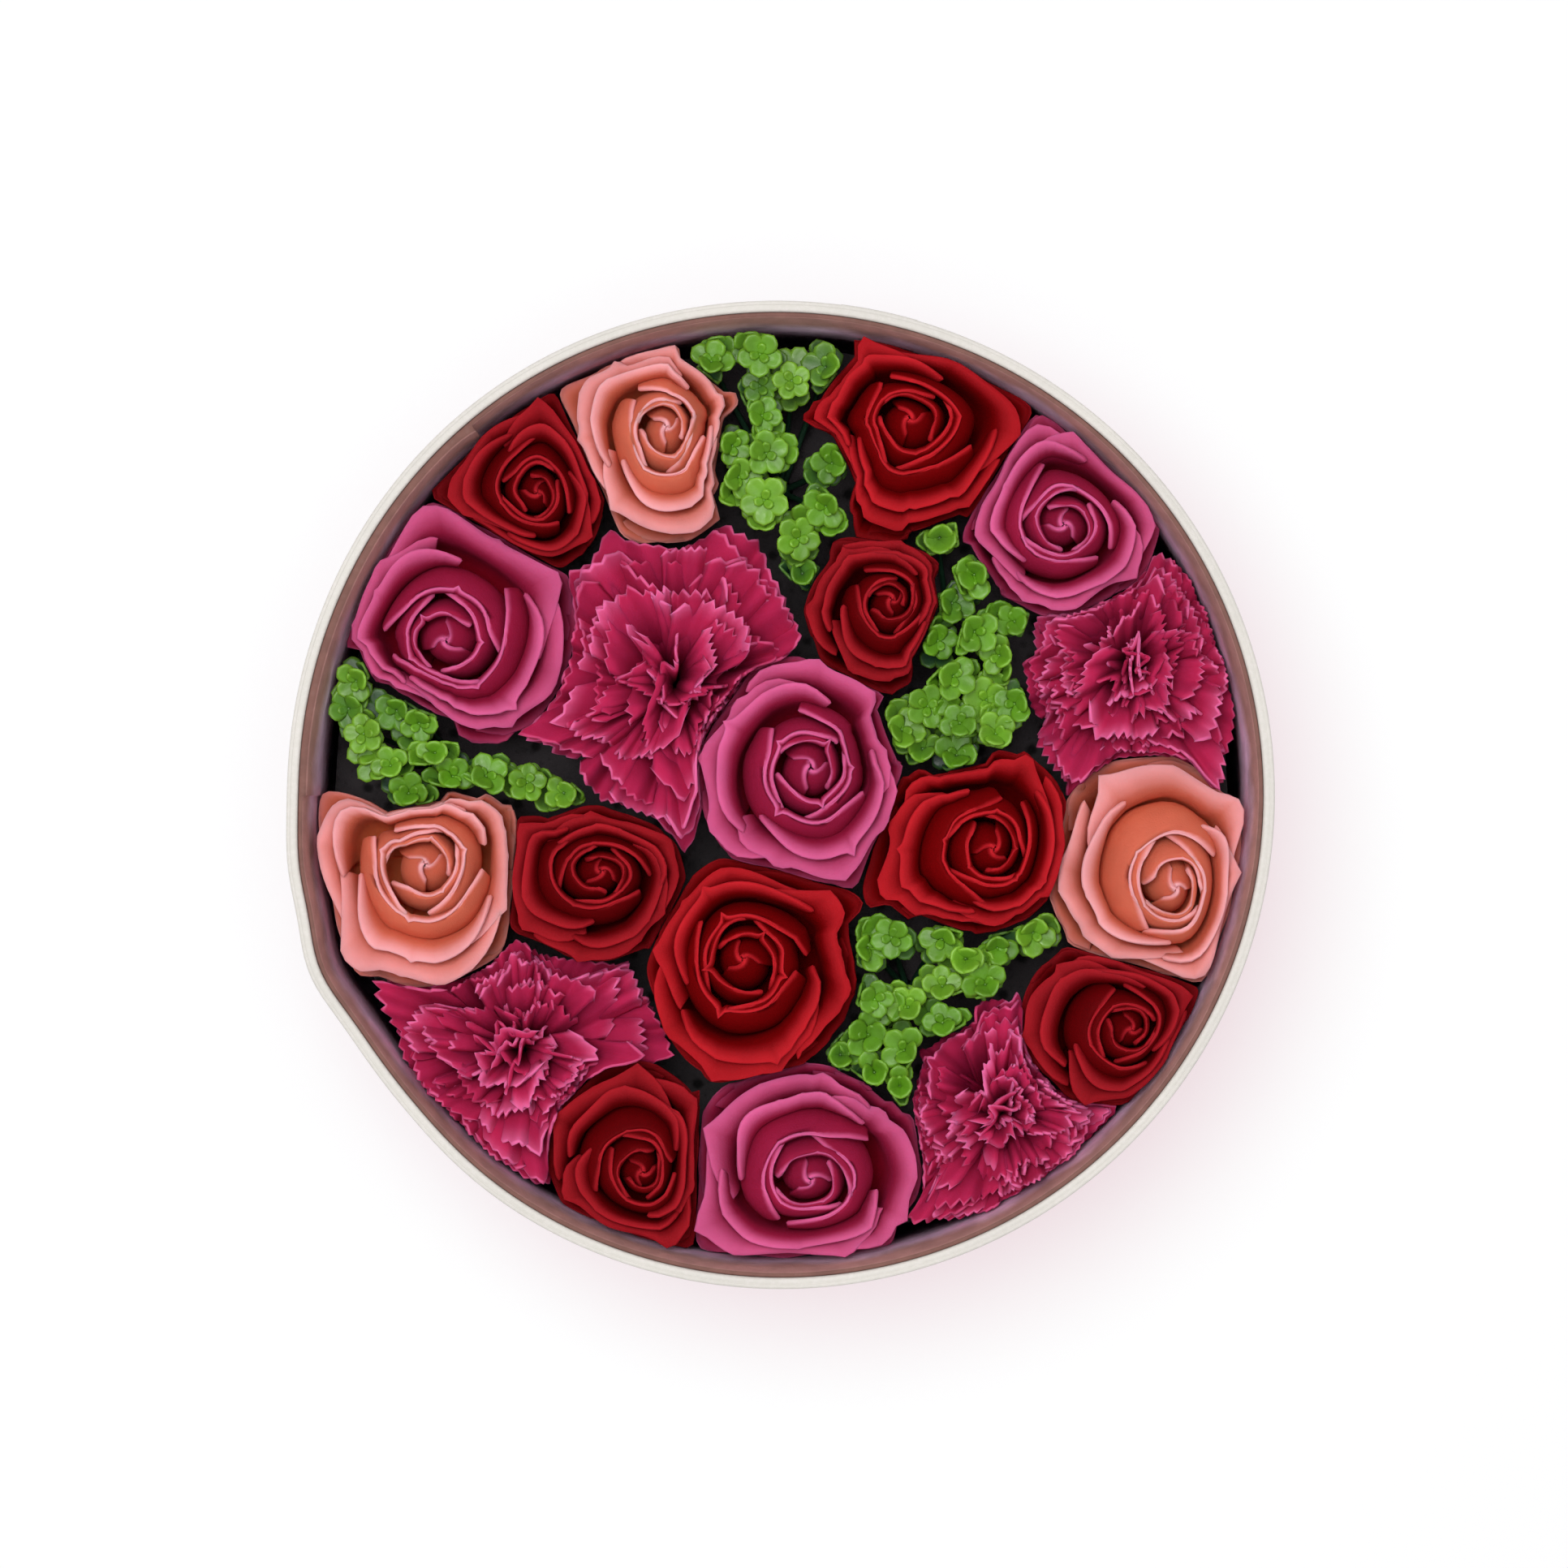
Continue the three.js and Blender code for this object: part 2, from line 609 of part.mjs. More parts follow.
// Rosette: five blunt leaves round a hollow middle, on a twig that bends to the main stem
function rosette(item, [rootX, rootY]) {
  const outline = Array.from({ length: 15 }, (_, i) => {
    const part = i % 3;
    const notch = part === 0;
    const shift = [0, -0.2, 0.2][part];
    const angle = item.turn + ((i + shift) * 2 * Math.PI) / 15;
    const r = (notch ? 0.4 : 1) * LEAF_ROSETTE;
    const z = item.top - (notch ? 1.4 : 0);
    return fitted(item, item.x + r * Math.cos(angle), item.y + r * Math.sin(angle), z);
  });
  const loops = [
    circle(rootX, rootY, BRANCH_HEIGHT - 1.4, TWIG, 3, item.turn),
    circle(item.x, item.y, BRANCH_HEIGHT + 1.4, TWIG, 3, item.turn),
    circle(item.x, item.y, item.top - 3, TWIG * 0.8, 3, item.turn),
    outline,
  ];
  return skin(loops, new THREE.Vector3(item.x, item.y, item.top - 1.2));
}

function spraySolid({ root, items }) {
  const peg = cylinder(...root, PEG.bottom, BRANCH_HEIGHT + 1, PEG.radius, 6);
  return unite([peg, ...items.map((item) => rosette(item, root))]);
}

// Assembly

function geometryOf(body) {
  const { vertProperties, triVerts } = body.getMesh();
  const geometry = new THREE.BufferGeometry();
  geometry.setAttribute('position', new THREE.BufferAttribute(new Float32Array(vertProperties), 3));
  geometry.setIndex(new THREE.BufferAttribute(new Uint32Array(triVerts), 1));
  geometry.computeVertexNormals();
  return geometry;
}

function meshOf(name, body, color, roughness) {
  const geometry = body.isBufferGeometry ? body : geometryOf(body);
  const material = new THREE.MeshStandardMaterial({ color, roughness, metalness: 0, flatShading: true });
  const mesh = new THREE.Mesh(geometry, material);
  mesh.name = name;
  return mesh;
}

const sprays = SPRAYS.map((spray) => ({
  ...spray,
  items: spray.rosettes.map(([x, y, top], i) => ({
    x, y, top, turn: i * 0.9, rank: 0, least: LEAF_LEAST, reach: Array(4).fill(LEAF_REACH),
  })),
}));
const rosettes = sprays.flatMap(({ items }) => items);
HEADS.forEach((item) => {
  item.planes = planesRound(item, rosettes);
  item.frills = HEADS.filter((other) => other.rank < item.rank && isNear(item, other));
});
rosettes.forEach((item) => {
  item.planes = HEADS.map((other) => planeBetween(item, other, true));
  item.frills = [];
});

const flowerHatBox = new THREE.Group();
flowerHatBox.add(meshOf('box_wall', boxWall(), 0xe6e2da, 0.6));
flowerHatBox.add(meshOf('box_base', boxBase(), 0xe6e2da, 0.7));
flowerHatBox.add(meshOf('inner_liner', liner(), 0x9c7f86, 0.8));
flowerHatBox.add(meshOf('floral_foam', foam(), 0x1f2a20, 0.95));
HEADS.forEach((item) => {
  flowerHatBox.add(meshOf(item.name, headSolid(item), COLOURS[item.colour], 0.75));
  flowerHatBox.add(meshOf(`stem_${item.name}`, stem(item), COLOURS.stem, 0.6));
});
sprays.forEach((spray) => {
  flowerHatBox.add(meshOf(spray.name, spraySolid(spray), COLOURS.leaf, 0.45));
});

export default flowerHatBox;
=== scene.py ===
"""Round flower hat box: petals, leaves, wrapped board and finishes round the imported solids.

Shapes are worked out in millimetres and put into the meshes in metres. Each head and each rosette
of leaves has its own room in the box, which its petals or leaves fill and never leave.
"""

import logging
from collections.abc import Sequence
from dataclasses import dataclass, field, replace
from enum import Enum

import bpy
import numpy as np
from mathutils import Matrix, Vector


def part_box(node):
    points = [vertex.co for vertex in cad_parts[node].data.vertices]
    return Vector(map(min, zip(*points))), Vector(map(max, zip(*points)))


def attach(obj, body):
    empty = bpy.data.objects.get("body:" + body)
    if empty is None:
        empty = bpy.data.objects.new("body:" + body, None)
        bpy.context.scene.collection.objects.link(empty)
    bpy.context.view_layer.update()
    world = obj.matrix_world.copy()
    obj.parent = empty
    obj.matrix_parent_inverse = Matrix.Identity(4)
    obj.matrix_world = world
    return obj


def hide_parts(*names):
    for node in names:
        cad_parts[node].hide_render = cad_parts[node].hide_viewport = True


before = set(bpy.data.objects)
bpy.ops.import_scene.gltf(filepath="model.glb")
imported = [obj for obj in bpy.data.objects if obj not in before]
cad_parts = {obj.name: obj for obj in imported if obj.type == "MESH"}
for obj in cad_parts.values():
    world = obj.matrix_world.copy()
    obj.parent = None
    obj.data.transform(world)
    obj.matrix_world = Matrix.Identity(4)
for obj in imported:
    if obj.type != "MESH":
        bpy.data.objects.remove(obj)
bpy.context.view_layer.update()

Array = np.ndarray
Colour = tuple[float, float, float]
Socket = bpy.types.NodeSocket
Look = bpy.types.Material

LOG = logging.getLogger("flower_hat_box")
MM = 0.001
GOLDEN_ANGLE = np.pi * (3 - np.sqrt(5))

# Box in millimetres: outer radius, height, board thickness, gap between touching pieces
BOX_RADIUS = 115.8
BOX_HEIGHT = 100.0
WALL = 2.8
GAP = 0.3

# Liner: thickness and top in millimetres, and the angles between which its ends lap
LINER_THICKNESS = 0.8
LINER_TOP = 99.4
LINER_LAP = (130.0, 180.0)

# Rooms in millimetres: radius inside the liner, half the gap between two heads, gap between a head and
# a rosette of leaves, how far apart neighbours may stand, and a distance beyond every bound
FIELD_RADIUS = 109.8
HALF_GAP = 0.2
LEAF_ROOM = 2.2
NEARBY = 80.0
BEYOND = 999.0

# Power of the outline of a room whose corners are all but sharp
SHARP = 24

# Heights of the foot of a spray's peg and of the place where the stalks leave it
PEG_FOOT = 33.2
BRANCH_HEIGHT = 57.6


def linear(red: int, green: int, blue: int) -> Colour:
    """Linear colour of three values from 0 to 255 as a screen shows them."""
    shown = np.array([red, green, blue]) / 255
    return tuple(float(c) for c in np.where(shown > 0.04045, ((shown + 0.055) / 1.055) ** 2.4, shown / 12.92))


def unit(vectors: Array) -> Array:
    """Vectors of length one along the last axis."""
    return vectors / np.maximum(np.linalg.norm(vectors, axis=-1, keepdims=True), 1e-9)


def through(points: Sequence[tuple[float, float]], along: Array) -> Array:
    """Smooth curve through points.

    Between two points the curve is a cubic whose slope at each of them is half the step between
    that point's neighbours.

    Args:
        points: radius and height of each point of the curve.
        along: share of the way, 0 at the first point and 1 at the last.

    Returns:
        Radius and height on the last axis.
    """
    knots = np.asarray(points, float)
    spans = len(knots) - 1
    way = along * spans
    at = np.clip(np.floor(way).astype(int), 0, spans - 1)
    f = (way - at)[..., None]
    a, b, c, d = (knots[np.clip(at + k, 0, spans)] for k in (-1, 0, 1, 2))
    return 0.5 * (2 * b + (c - a) * f + (2 * a - 5 * b + 4 * c - d) * f**2 + (3 * (b - c) + d - a) * f**3)


def cubic(points: Sequence[Array], t: Array) -> tuple[Array, Array]:
    """Place and slope of a cubic curve.

    Args:
        points: its start, the two points that it is drawn towards, and its end.
        t: share of the way.

    Returns:
        Place and slope.
    """
    a, b, c, d = points
    place = (1 - t) ** 3 * a + 3 * t * (1 - t) ** 2 * b + 3 * t**2 * (1 - t) * c + t**3 * d
    return place, 3 * (1 - t) ** 2 * (b - a) + 6 * t * (1 - t) * (c - b) + 3 * t**2 * (d - c)


def spaced(count: int, near: Sequence[float], both: bool) -> Array:
    """Even steps from 0 to 1 with a few more next to the end, or next to both ends.

    Args:
        count: number of even steps' points.
        near: distances of the extra points from an end.
        both: whether the start gets the extra points too.

    Returns:
        The points in rising order, 0 and 1 among them.
    """
    close = np.sort(np.asarray(near))
    first = close[-1] * 1.8 if both else 0.0
    even = np.linspace(first, 1 - close[-1] * 1.8, count)
    start = np.concatenate([[0.0], close]) if both else np.empty(0)
    return np.concatenate([start, even, 1 - close[::-1], [1.0]])


@dataclass
class Shell:
    """Closed surface: points in millimetres, four-sided faces, place on the surface and tone."""

    points: Array
    faces: Array
    place: Array
    tone: Array

    @staticmethod
    def joined(shells: Sequence["Shell"]) -> "Shell":
        """One shell that holds several.

        Args:
            shells: the shells.

        Returns:
            The joined shell.
        """
        firsts = np.cumsum([0] + [len(shell.points) for shell in shells[:-1]])
        return Shell(
            np.concatenate([shell.points for shell in shells]),
            np.concatenate([shell.faces + first for shell, first in zip(shells, firsts)]),
            np.concatenate([shell.place for shell in shells]),
            np.concatenate([shell.tone for shell in shells]),
        )


def grid_faces(numbers: Array) -> Array:
    """Four-sided faces between the neighbouring rows and columns of a grid of point numbers."""
    corners = (numbers[:-1, :-1], numbers[:-1, 1:], numbers[1:, 1:], numbers[1:, :-1])
    return np.stack(corners, -1).reshape(-1, 4)


def repeated(faces: Array, count: int, size: int) -> Array:
    """Faces of one shell, repeated for a number of shells of the same number of points."""
    return (faces[None] + size * np.arange(count)[:, None, None]).reshape(-1, 4)


def even_place(rows: int, columns: int) -> Array:
    """Place of the points of a grid, from 0 to 1 both ways."""
    return np.stack(np.meshgrid(np.linspace(0, 1, columns), np.linspace(0, 1, rows)), -1)


def to_ends(middle: Array, axis: int) -> Array:
    """Distance along a surface from each point to the nearer end of its row or column.

    Args:
        middle: points of the surfaces, shaped (blades, rows, columns, 3).
        axis: 1 to go down the columns, 2 to go along the rows.

    Returns:
        The distances, shaped (blades, rows, columns).
    """
    steps = np.linalg.norm(np.diff(middle, axis=axis), axis=-1)
    start = np.zeros_like(np.take(steps, [0], axis))
    first = np.concatenate([start, np.cumsum(steps, axis)], axis)
    last = np.concatenate([start, np.cumsum(np.flip(steps, axis), axis)], axis)
    return np.minimum(first, np.flip(last, axis))


def thickened(middle: Array, thickness: Array | float, tone: Array) -> Shell:
    """Closed blades round the middle surfaces of several petals or leaves.

    Each blade's two faces stand off its middle surface by half its thickness along the normal.
    Towards the free edges that distance falls as a quarter circle does, so the edge is round, and
    at the edge both faces share their points.

    Args:
        middle: points of the middle surfaces, shaped (blades, rows, columns, 3).
        thickness: full thickness in millimetres, one for all or one for each blade.
        tone: tone of each point of the middle surfaces.

    Returns:
        The blades as one shell.
    """
    blades, rows, columns, _ = middle.shape
    half = np.broadcast_to(np.asarray(thickness, float).reshape(-1, 1, 1) / 2, (blades, 1, 1))
    edge = np.minimum(to_ends(middle, 1), to_ends(middle, 2))
    stand = half * np.sqrt(1 - (1 - np.clip(edge / half, 0, 1)) ** 2)
    normal = unit(np.cross(np.gradient(middle, axis=2), np.gradient(middle, axis=1)))
    front = middle + normal * stand[..., None]
    back = middle - normal * stand[..., None]
    outside, inside = rows * columns, (rows - 2) * (columns - 2)
    numbers = np.arange(outside).reshape(rows, columns)
    behind = numbers.copy()
    behind[1:-1, 1:-1] = outside + np.arange(inside).reshape(rows - 2, columns - 2)
    faces = np.concatenate([grid_faces(numbers), grid_faces(behind)[:, ::-1]])
    place = np.broadcast_to(even_place(rows, columns), (blades, rows, columns, 2))
    tone = np.broadcast_to(tone, (blades, rows, columns))

    def both(outer: Array, inner: Array) -> Array:
        """Values of all the points of the front, then of the inner points of the back."""
        shape = (blades, -1, *outer.shape[3:])
        return np.concatenate([outer.reshape(shape), inner[:, 1:-1, 1:-1].reshape(shape)], 1)

    return Shell(
        both(front, back).reshape(-1, 3),
        repeated(faces, blades, outside + inside),
        both(place, place).reshape(-1, 2),
        both(tone, tone).reshape(-1),
    )


def tubes(path: Array, start: float, end: float, tone: float) -> Shell:
    """Closed six-sided tubes along several paths.

    Args:
        path: points of the paths, shaped (tubes, points, 3).
        start: radius at the start of a path.
        end: radius at its end.
        tone: tone of the tubes.

    Returns:
        The tubes as one shell.
    """
    sides = 6
    count, steps, _ = path.shape
    ahead = unit(np.gradient(path, axis=1))
    aslant = [0.31, 0.95, 0.07]  # along none of the paths
    left = unit(np.cross(ahead, aslant))
    up = np.cross(left, ahead)
    turn = np.linspace(0, 2 * np.pi, sides, endpoint=False)[:, None]
    spoke = np.cos(turn) * left[:, :, None] - np.sin(turn) * up[:, :, None]
    points = path[:, :, None] + spoke * np.linspace(start, end, steps)[None, :, None, None]
    numbers = np.arange(steps * sides).reshape(steps, sides)
    wall = grid_faces(np.concatenate([numbers, numbers[:, :1]], 1))
    caps = np.array([[0, 1, 2, 3], [0, 3, 4, 5]])
    last = numbers[-1, 0]
    faces = np.concatenate([wall, caps[:, ::-1], caps + last])
    return Shell(
        points.reshape(-1, 3),
        repeated(faces, count, steps * sides),
        np.tile(even_place(steps, sides).reshape(-1, 2), (count, 1)),
        np.full(count * steps * sides, tone),
    )


def placed(name: str, data: bpy.types.ID) -> bpy.types.Object:
    """A new object of the scene, with its mesh, lamp or camera.

    Args:
        name: name of the object.
        data: its mesh, lamp or camera.

    Returns:
        The object.
    """
    made = bpy.data.objects.new(name, data)
    bpy.context.scene.collection.objects.link(made)
    return made


class Dresser:
    """Puts shells into the scene as pieces that ride on the box."""

    @staticmethod
    def repaint(node: str, material: Look) -> None:
        """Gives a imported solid, whose shape stays as it is, its finish.

        Args:
            node: name of the node.
            material: its finish.
        """
        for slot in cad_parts[node].material_slots:
            slot.material = material
        LOG.info("%s: repainted", node)

    @staticmethod
    def piece(name: str, shell: Shell, material: Look, slot: str, *nodes: str) -> None:
        """Makes a piece and says what it stands for.

        Args:
            name: name of the piece.
            shell: its surface.
            material: its finish.
            slot: material slot of the record that the finish belongs to; not used.
            nodes: nodes that it replaces.
        """
        count = len(shell.faces)
        mesh = bpy.data.meshes.new(name)
        mesh.vertices.add(len(shell.points))
        mesh.vertices.foreach_set("co", (shell.points * MM).ravel())
        mesh.loops.add(4 * count)
        mesh.loops.foreach_set("vertex_index", shell.faces.ravel().astype(np.int32))
        mesh.polygons.add(count)
        mesh.polygons.foreach_set("loop_start", np.arange(0, 4 * count, 4, dtype=np.int32))
        mesh.polygons.foreach_set("use_smooth", np.ones(count, bool))
        surface = mesh.uv_layers.new(name="surface")
        surface.data.foreach_set("uv", shell.place[shell.faces.ravel()].ravel())
        tone = mesh.attributes.new("tone", "FLOAT", "POINT")
        tone.data.foreach_set("value", shell.tone.astype(np.float32))
        mesh.update(calc_edges=True)
        mesh.materials.append(material)
        made = placed(name, mesh)
        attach(made, "root")
        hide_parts(*nodes)
        LOG.info("%s: %d faces, stands for %s", name, count, ", ".join(nodes))


# Finishes


class Nodes:
    """A node tree with short calls to add nodes and join them."""

    def __init__(self, tree: bpy.types.NodeTree) -> None:
        """Keeps the tree, emptied."""
        self.tree = tree
        tree.nodes.clear()

    def put(self, socket: Socket, value: object) -> None:
        """Joins a socket to an input, or gives the input a value: three numbers for a colour.

        Args:
            socket: the input.
            value: a socket, or the value.
        """
        if isinstance(value, Socket):
            self.tree.links.new(value, socket)
        else:
            socket.default_value = (*value, 1.0) if socket.type == "RGBA" else value

    def add(self, kind: str, values: dict | None = None, **settings: object) -> bpy.types.Node:
        """Adds a node.

        Args:
            kind: type of the node.
            values: value or incoming socket of each input, by name or number.
            settings: properties of the node.

        Returns:
            The node.
        """
        node = self.tree.nodes.new(kind)
        for key, value in settings.items():
            setattr(node, key, value)
        for key, value in (values or {}).items():
            self.put(node.inputs[key], value)
        return node

    def math(self, operation: str, *values: object) -> Socket:
        """Result of a sum on one, two or three numbers or sockets."""
        return self.add("ShaderNodeMath", dict(enumerate(values)), operation=operation).outputs[0]

    def spread(self, value: Socket, low: float, high: float, to_low: float = 0, to_high: float = 1) -> Socket:
        """A value moved smoothly from one range to another and kept inside it."""
        values = {"Value": value, "From Min": low, "From Max": high, "To Min": to_low, "To Max": to_high}
        return self.add("ShaderNodeMapRange", values, interpolation_type="SMOOTHSTEP").outputs[0]

    def mix(self, share: object, first: object, second: object, blend: str = "MIX") -> Socket:
        """Mix of two colours."""
        values = {0: share, 6: first, 7: second}
        return self.add("ShaderNodeMix", values, data_type="RGBA", blend_type=blend).outputs[2]


class Effects:
    """Shader node groups that several finishes share, each built once."""

    def __init__(self) -> None:
        """Builds the groups."""
        self.grain = self._grain()
        self.clouds = self._clouds()

    @staticmethod
    def _group(
        name: str, inputs: Sequence[tuple[str, str, object]], outputs: Sequence[tuple[str, str]]
    ) -> tuple[Nodes, bpy.types.Node, bpy.types.Node]:
        """An empty group with its sockets, and the nodes that stand for them.

        Args:
            name: name of the group.
            inputs: name, type and usual value of each input.
            outputs: name and type of each output.

        Returns:
            The group, and the nodes of its inputs and its outputs.
        """
        tree = bpy.data.node_groups.new(name, "ShaderNodeTree")
        nodes = Nodes(tree)
        for label, kind, value in inputs:
            socket = tree.interface.new_socket(name=label, in_out="INPUT", socket_type=kind)
            socket.default_value = value
        for label, kind in outputs:
            tree.interface.new_socket(name=label, in_out="OUTPUT", socket_type=kind)
        return nodes, nodes.add("NodeGroupInput"), nodes.add("NodeGroupOutput")

    def _grain(self) -> bpy.types.NodeTree:
        """Fine open grain of foam, paper and plastic: a height and a mask of its pits.

        Returns:
            The group.
        """
        nodes, given, result = self._group(
            "fine_grain",
            [("Scale", "NodeSocketFloat", 1500.0), ("Pits", "NodeSocketFloat", 0.4)],
            [("Height", "NodeSocketFloat"), ("Mask", "NodeSocketFloat")],
        )
        place = nodes.add("ShaderNodeTexCoord").outputs["Object"]
        values = {"Vector": place, "Scale": given.outputs["Scale"], "Detail": 5.0, "Roughness": 0.65}
        noise = nodes.add("ShaderNodeTexNoise", values)
        half = nodes.math("MULTIPLY", given.outputs["Scale"], 0.5)
        cells = nodes.add("ShaderNodeTexVoronoi", {"Vector": place, "Scale": half})
        pit = nodes.spread(cells.outputs["Distance"], 0.0, 0.45)
        deep = nodes.math("MULTIPLY", pit, given.outputs["Pits"])
        nodes.put(result.inputs["Height"], nodes.math("ADD", noise.outputs[0], deep))
        nodes.put(result.inputs["Mask"], nodes.math("MULTIPLY", noise.outputs[0], pit))
        return nodes.tree

    def _clouds(self) -> bpy.types.NodeTree:
        """Wide soft patches of tone: a colour that is a little lighter here and darker there.

        Returns:
            The group.
        """
        nodes, given, result = self._group(
            "tone_clouds",
            [
                ("Color", "NodeSocketColor", (0.5, 0.5, 0.5, 1.0)),
                ("Scale", "NodeSocketFloat", 120.0),
                ("Depth", "NodeSocketFloat", 0.12),
            ],
            [("Color", "NodeSocketColor")],
        )
        place = nodes.add("ShaderNodeTexCoord").outputs["Object"]
        values = {"Vector": place, "Scale": given.outputs["Scale"], "Detail": 3.0}
        noise = nodes.add("ShaderNodeTexNoise", values)
        change = nodes.spread(noise.outputs[0], 0.3, 0.7, -1.0, 1.0)
        factor = nodes.math("MULTIPLY_ADD", change, given.outputs["Depth"], 1.0)
        grey = nodes.add("ShaderNodeCombineColor", {0: factor, 1: factor, 2: factor}).outputs[0]
        nodes.put(result.inputs["Color"], nodes.mix(1.0, given.outputs["Color"], grey, "MULTIPLY"))
        return nodes.tree


class Material(Nodes):
    """A material whose shader stands alone, with the shared effects placed in it."""

    def __init__(self, name: str, effects: Effects) -> None:
        """Starts a material of that name.

        Args:
            name: name of the material.
            effects: the shared node groups.
        """
        self.material = bpy.data.materials.new(name)
        self.material.use_nodes = True
        super().__init__(self.material.node_tree)
        self.effects = effects

    def place(self) -> Socket:
        """Place on the object, in metres."""
        return self.add("ShaderNodeTexCoord").outputs["Object"]

    def tone(self) -> Socket:
        """The tone that the surface carries."""
        node = self.add("ShaderNodeAttribute", attribute_name="tone", attribute_type="GEOMETRY")
        return node.outputs["Fac"]

    def grain(self, scale: float, pits: float) -> bpy.types.Node:
        """The fine grain at a scale."""
        return self.add("ShaderNodeGroup", {"Scale": scale, "Pits": pits}, node_tree=self.effects.grain)

    def clouds(self, colour: object, scale: float, depth: float) -> Socket:
        """The soft patches on a colour."""
        values = {"Color": colour, "Scale": scale, "Depth": depth}
        return self.add("ShaderNodeGroup", values, node_tree=self.effects.clouds).outputs["Color"]

    def finish(
        self, colour: Socket, roughness: object, height: Socket, depth: float, **fixed: object
    ) -> Look:
        """Ends the material with its shader.

        Args:
            colour: base colour.
            roughness: roughness, a number or a socket.
            height: height of the relief.
            depth: depth of the relief in metres.
            fixed: values that are the same all over, by the shader's own names.

        Returns:
            The material.
        """
        bump = self.add("ShaderNodeBump", {"Strength": 1.0, "Distance": depth, "Height": height})
        values = {"Base Color": colour, "Roughness": roughness, "Normal": bump.outputs[0]}
        values |= {key.replace("_", " "): value for key, value in fixed.items()}
        shader = self.add("ShaderNodeBsdfPrincipled", values)
        self.add("ShaderNodeOutputMaterial", {"Surface": shader.outputs[0]})
        return self.material


@dataclass(frozen=True)
class PetalFinish:
    """Velvety foam petal: colour deep in the head, on its faces and along its edges, with the head's light
    painted in. The deep colour is painted shade low in the head, or a painted glow of light through and
    between the petals where it is brighter than the face; the paler edge colour is the cut edge and partly
    painted highlight on the rims and upper parts.
    """

    name: str
    # deep: colour low in the head, painted shade or a painted glow of light through and between the petals
    deep: Colour
    face: Colour
    # edge: colour of the rims and upper parts, the paler cut edge with painted highlight
    edge: Colour

    def material(self, effects: Effects) -> Look:
        """The finish as a material.

        Args:
            effects: the shared node groups.

        Returns:
            The material.
        """
        made = Material(self.name, effects)
        tone = made.tone()
        # Painted light: low tone, deep in the head, takes the deep colour as painted shade or glow; high
        # tone, on the rims and upper parts, takes the edge colour as painted highlight
        body = made.mix(made.spread(tone, 0.1, 0.55), self.deep, self.face)
        lit = made.mix(made.spread(tone, 0.55, 1.0), body, self.edge)
        grain = made.grain(scale=2600.0, pits=0.5)
        colour = made.clouds(lit, scale=90.0, depth=0.07)
        rough = made.spread(grain.outputs["Mask"], 0.0, 0.7, 0.6, 0.78)
        return made.finish(
            colour, rough, grain.outputs["Height"], depth=0.00007,
            Specular_IOR_Level=0.05, Sheen_Weight=0.02, Sheen_Roughness=0.45, Sheen_Tint=self.edge,
            Subsurface_Weight=0.35, Subsurface_Radius=(1.0, 0.45, 0.45), Subsurface_Scale=0.002,
        )


@dataclass(frozen=True)
class LeafFinish:
    """Moulded leaf plastic: yellow-green on top, paler at the edge, and a darker blue-green low down that is
    painted shade deep in the box.

    Attributes:
        name: name of the material.
        low: darker colour low down, painted shade deep in the box.
        face: colour on top.
        edge: colour of the edge.
        gloss: lowest roughness.
        turn: heights in metres between which the low colour turns into the upper one.
    """

    name: str
    low: Colour
    face: Colour
    edge: Colour
    gloss: float
    turn: tuple[float, float] = (0.082, 0.0925)

    def material(self, effects: Effects) -> Look:
        """The finish as a material.

        Args:
            effects: the shared node groups.

        Returns:
            The material.
        """
        made = Material(self.name, effects)
        tone = made.tone()
        height = made.add("ShaderNodeSeparateXYZ", {0: made.place()}).outputs["Z"]
        # Painted shade: the colour turns to the darker low blue-green lower down in the box
        body = made.mix(made.spread(height, *self.turn), self.low, self.face)
        lit = made.mix(made.spread(tone, 0.1, 1.0), body, self.edge)
        colour = made.clouds(lit, scale=160.0, depth=0.16)
        grain = made.grain(scale=900.0, pits=0.2)
        rough = made.spread(grain.outputs["Mask"], 0.0, 0.6, self.gloss, self.gloss + 0.16)
        return made.finish(
            colour, rough, grain.outputs["Height"], depth=0.00012, Coat_Weight=0.12, Coat_Roughness=0.3,
        )


@dataclass(frozen=True)
class WrapFinish:
    """Cream wrap paper over board, with the fibres of the paper, a worn step and a bare inside."""

    name: str
    face: Colour
    worn: Colour
    bare: Colour

    def material(self, effects: Effects) -> Look:
        """The finish as a material.

        Args:
            effects: the shared node groups.

        Returns:
            The material.
        """
        made = Material(self.name, effects)
        values = {"Vector": made.place(), "Scale": 700.0, "Detail": 6.0, "Roughness": 0.7}
        fibre = made.add("ShaderNodeTexNoise", values)
        light = made.mix(made.spread(fibre.outputs[0], 0.4, 0.7), self.worn, self.face)
        tone = made.tone()
        worn = made.mix(made.spread(tone, 0.0, 0.5), light, self.worn)
        fleck = made.mix(made.spread(tone, 0.5, 1.0), worn, self.bare)
        grain = made.grain(scale=1400.0, pits=0.25)
        colour = made.clouds(fleck, scale=30.0, depth=0.03)
        rough = made.spread(fibre.outputs[0], 0.2, 0.8, 0.5, 0.66)
        relief = made.math("ADD", grain.outputs["Height"], fibre.outputs[0])
        return made.finish(colour, rough, relief, depth=0.00004)


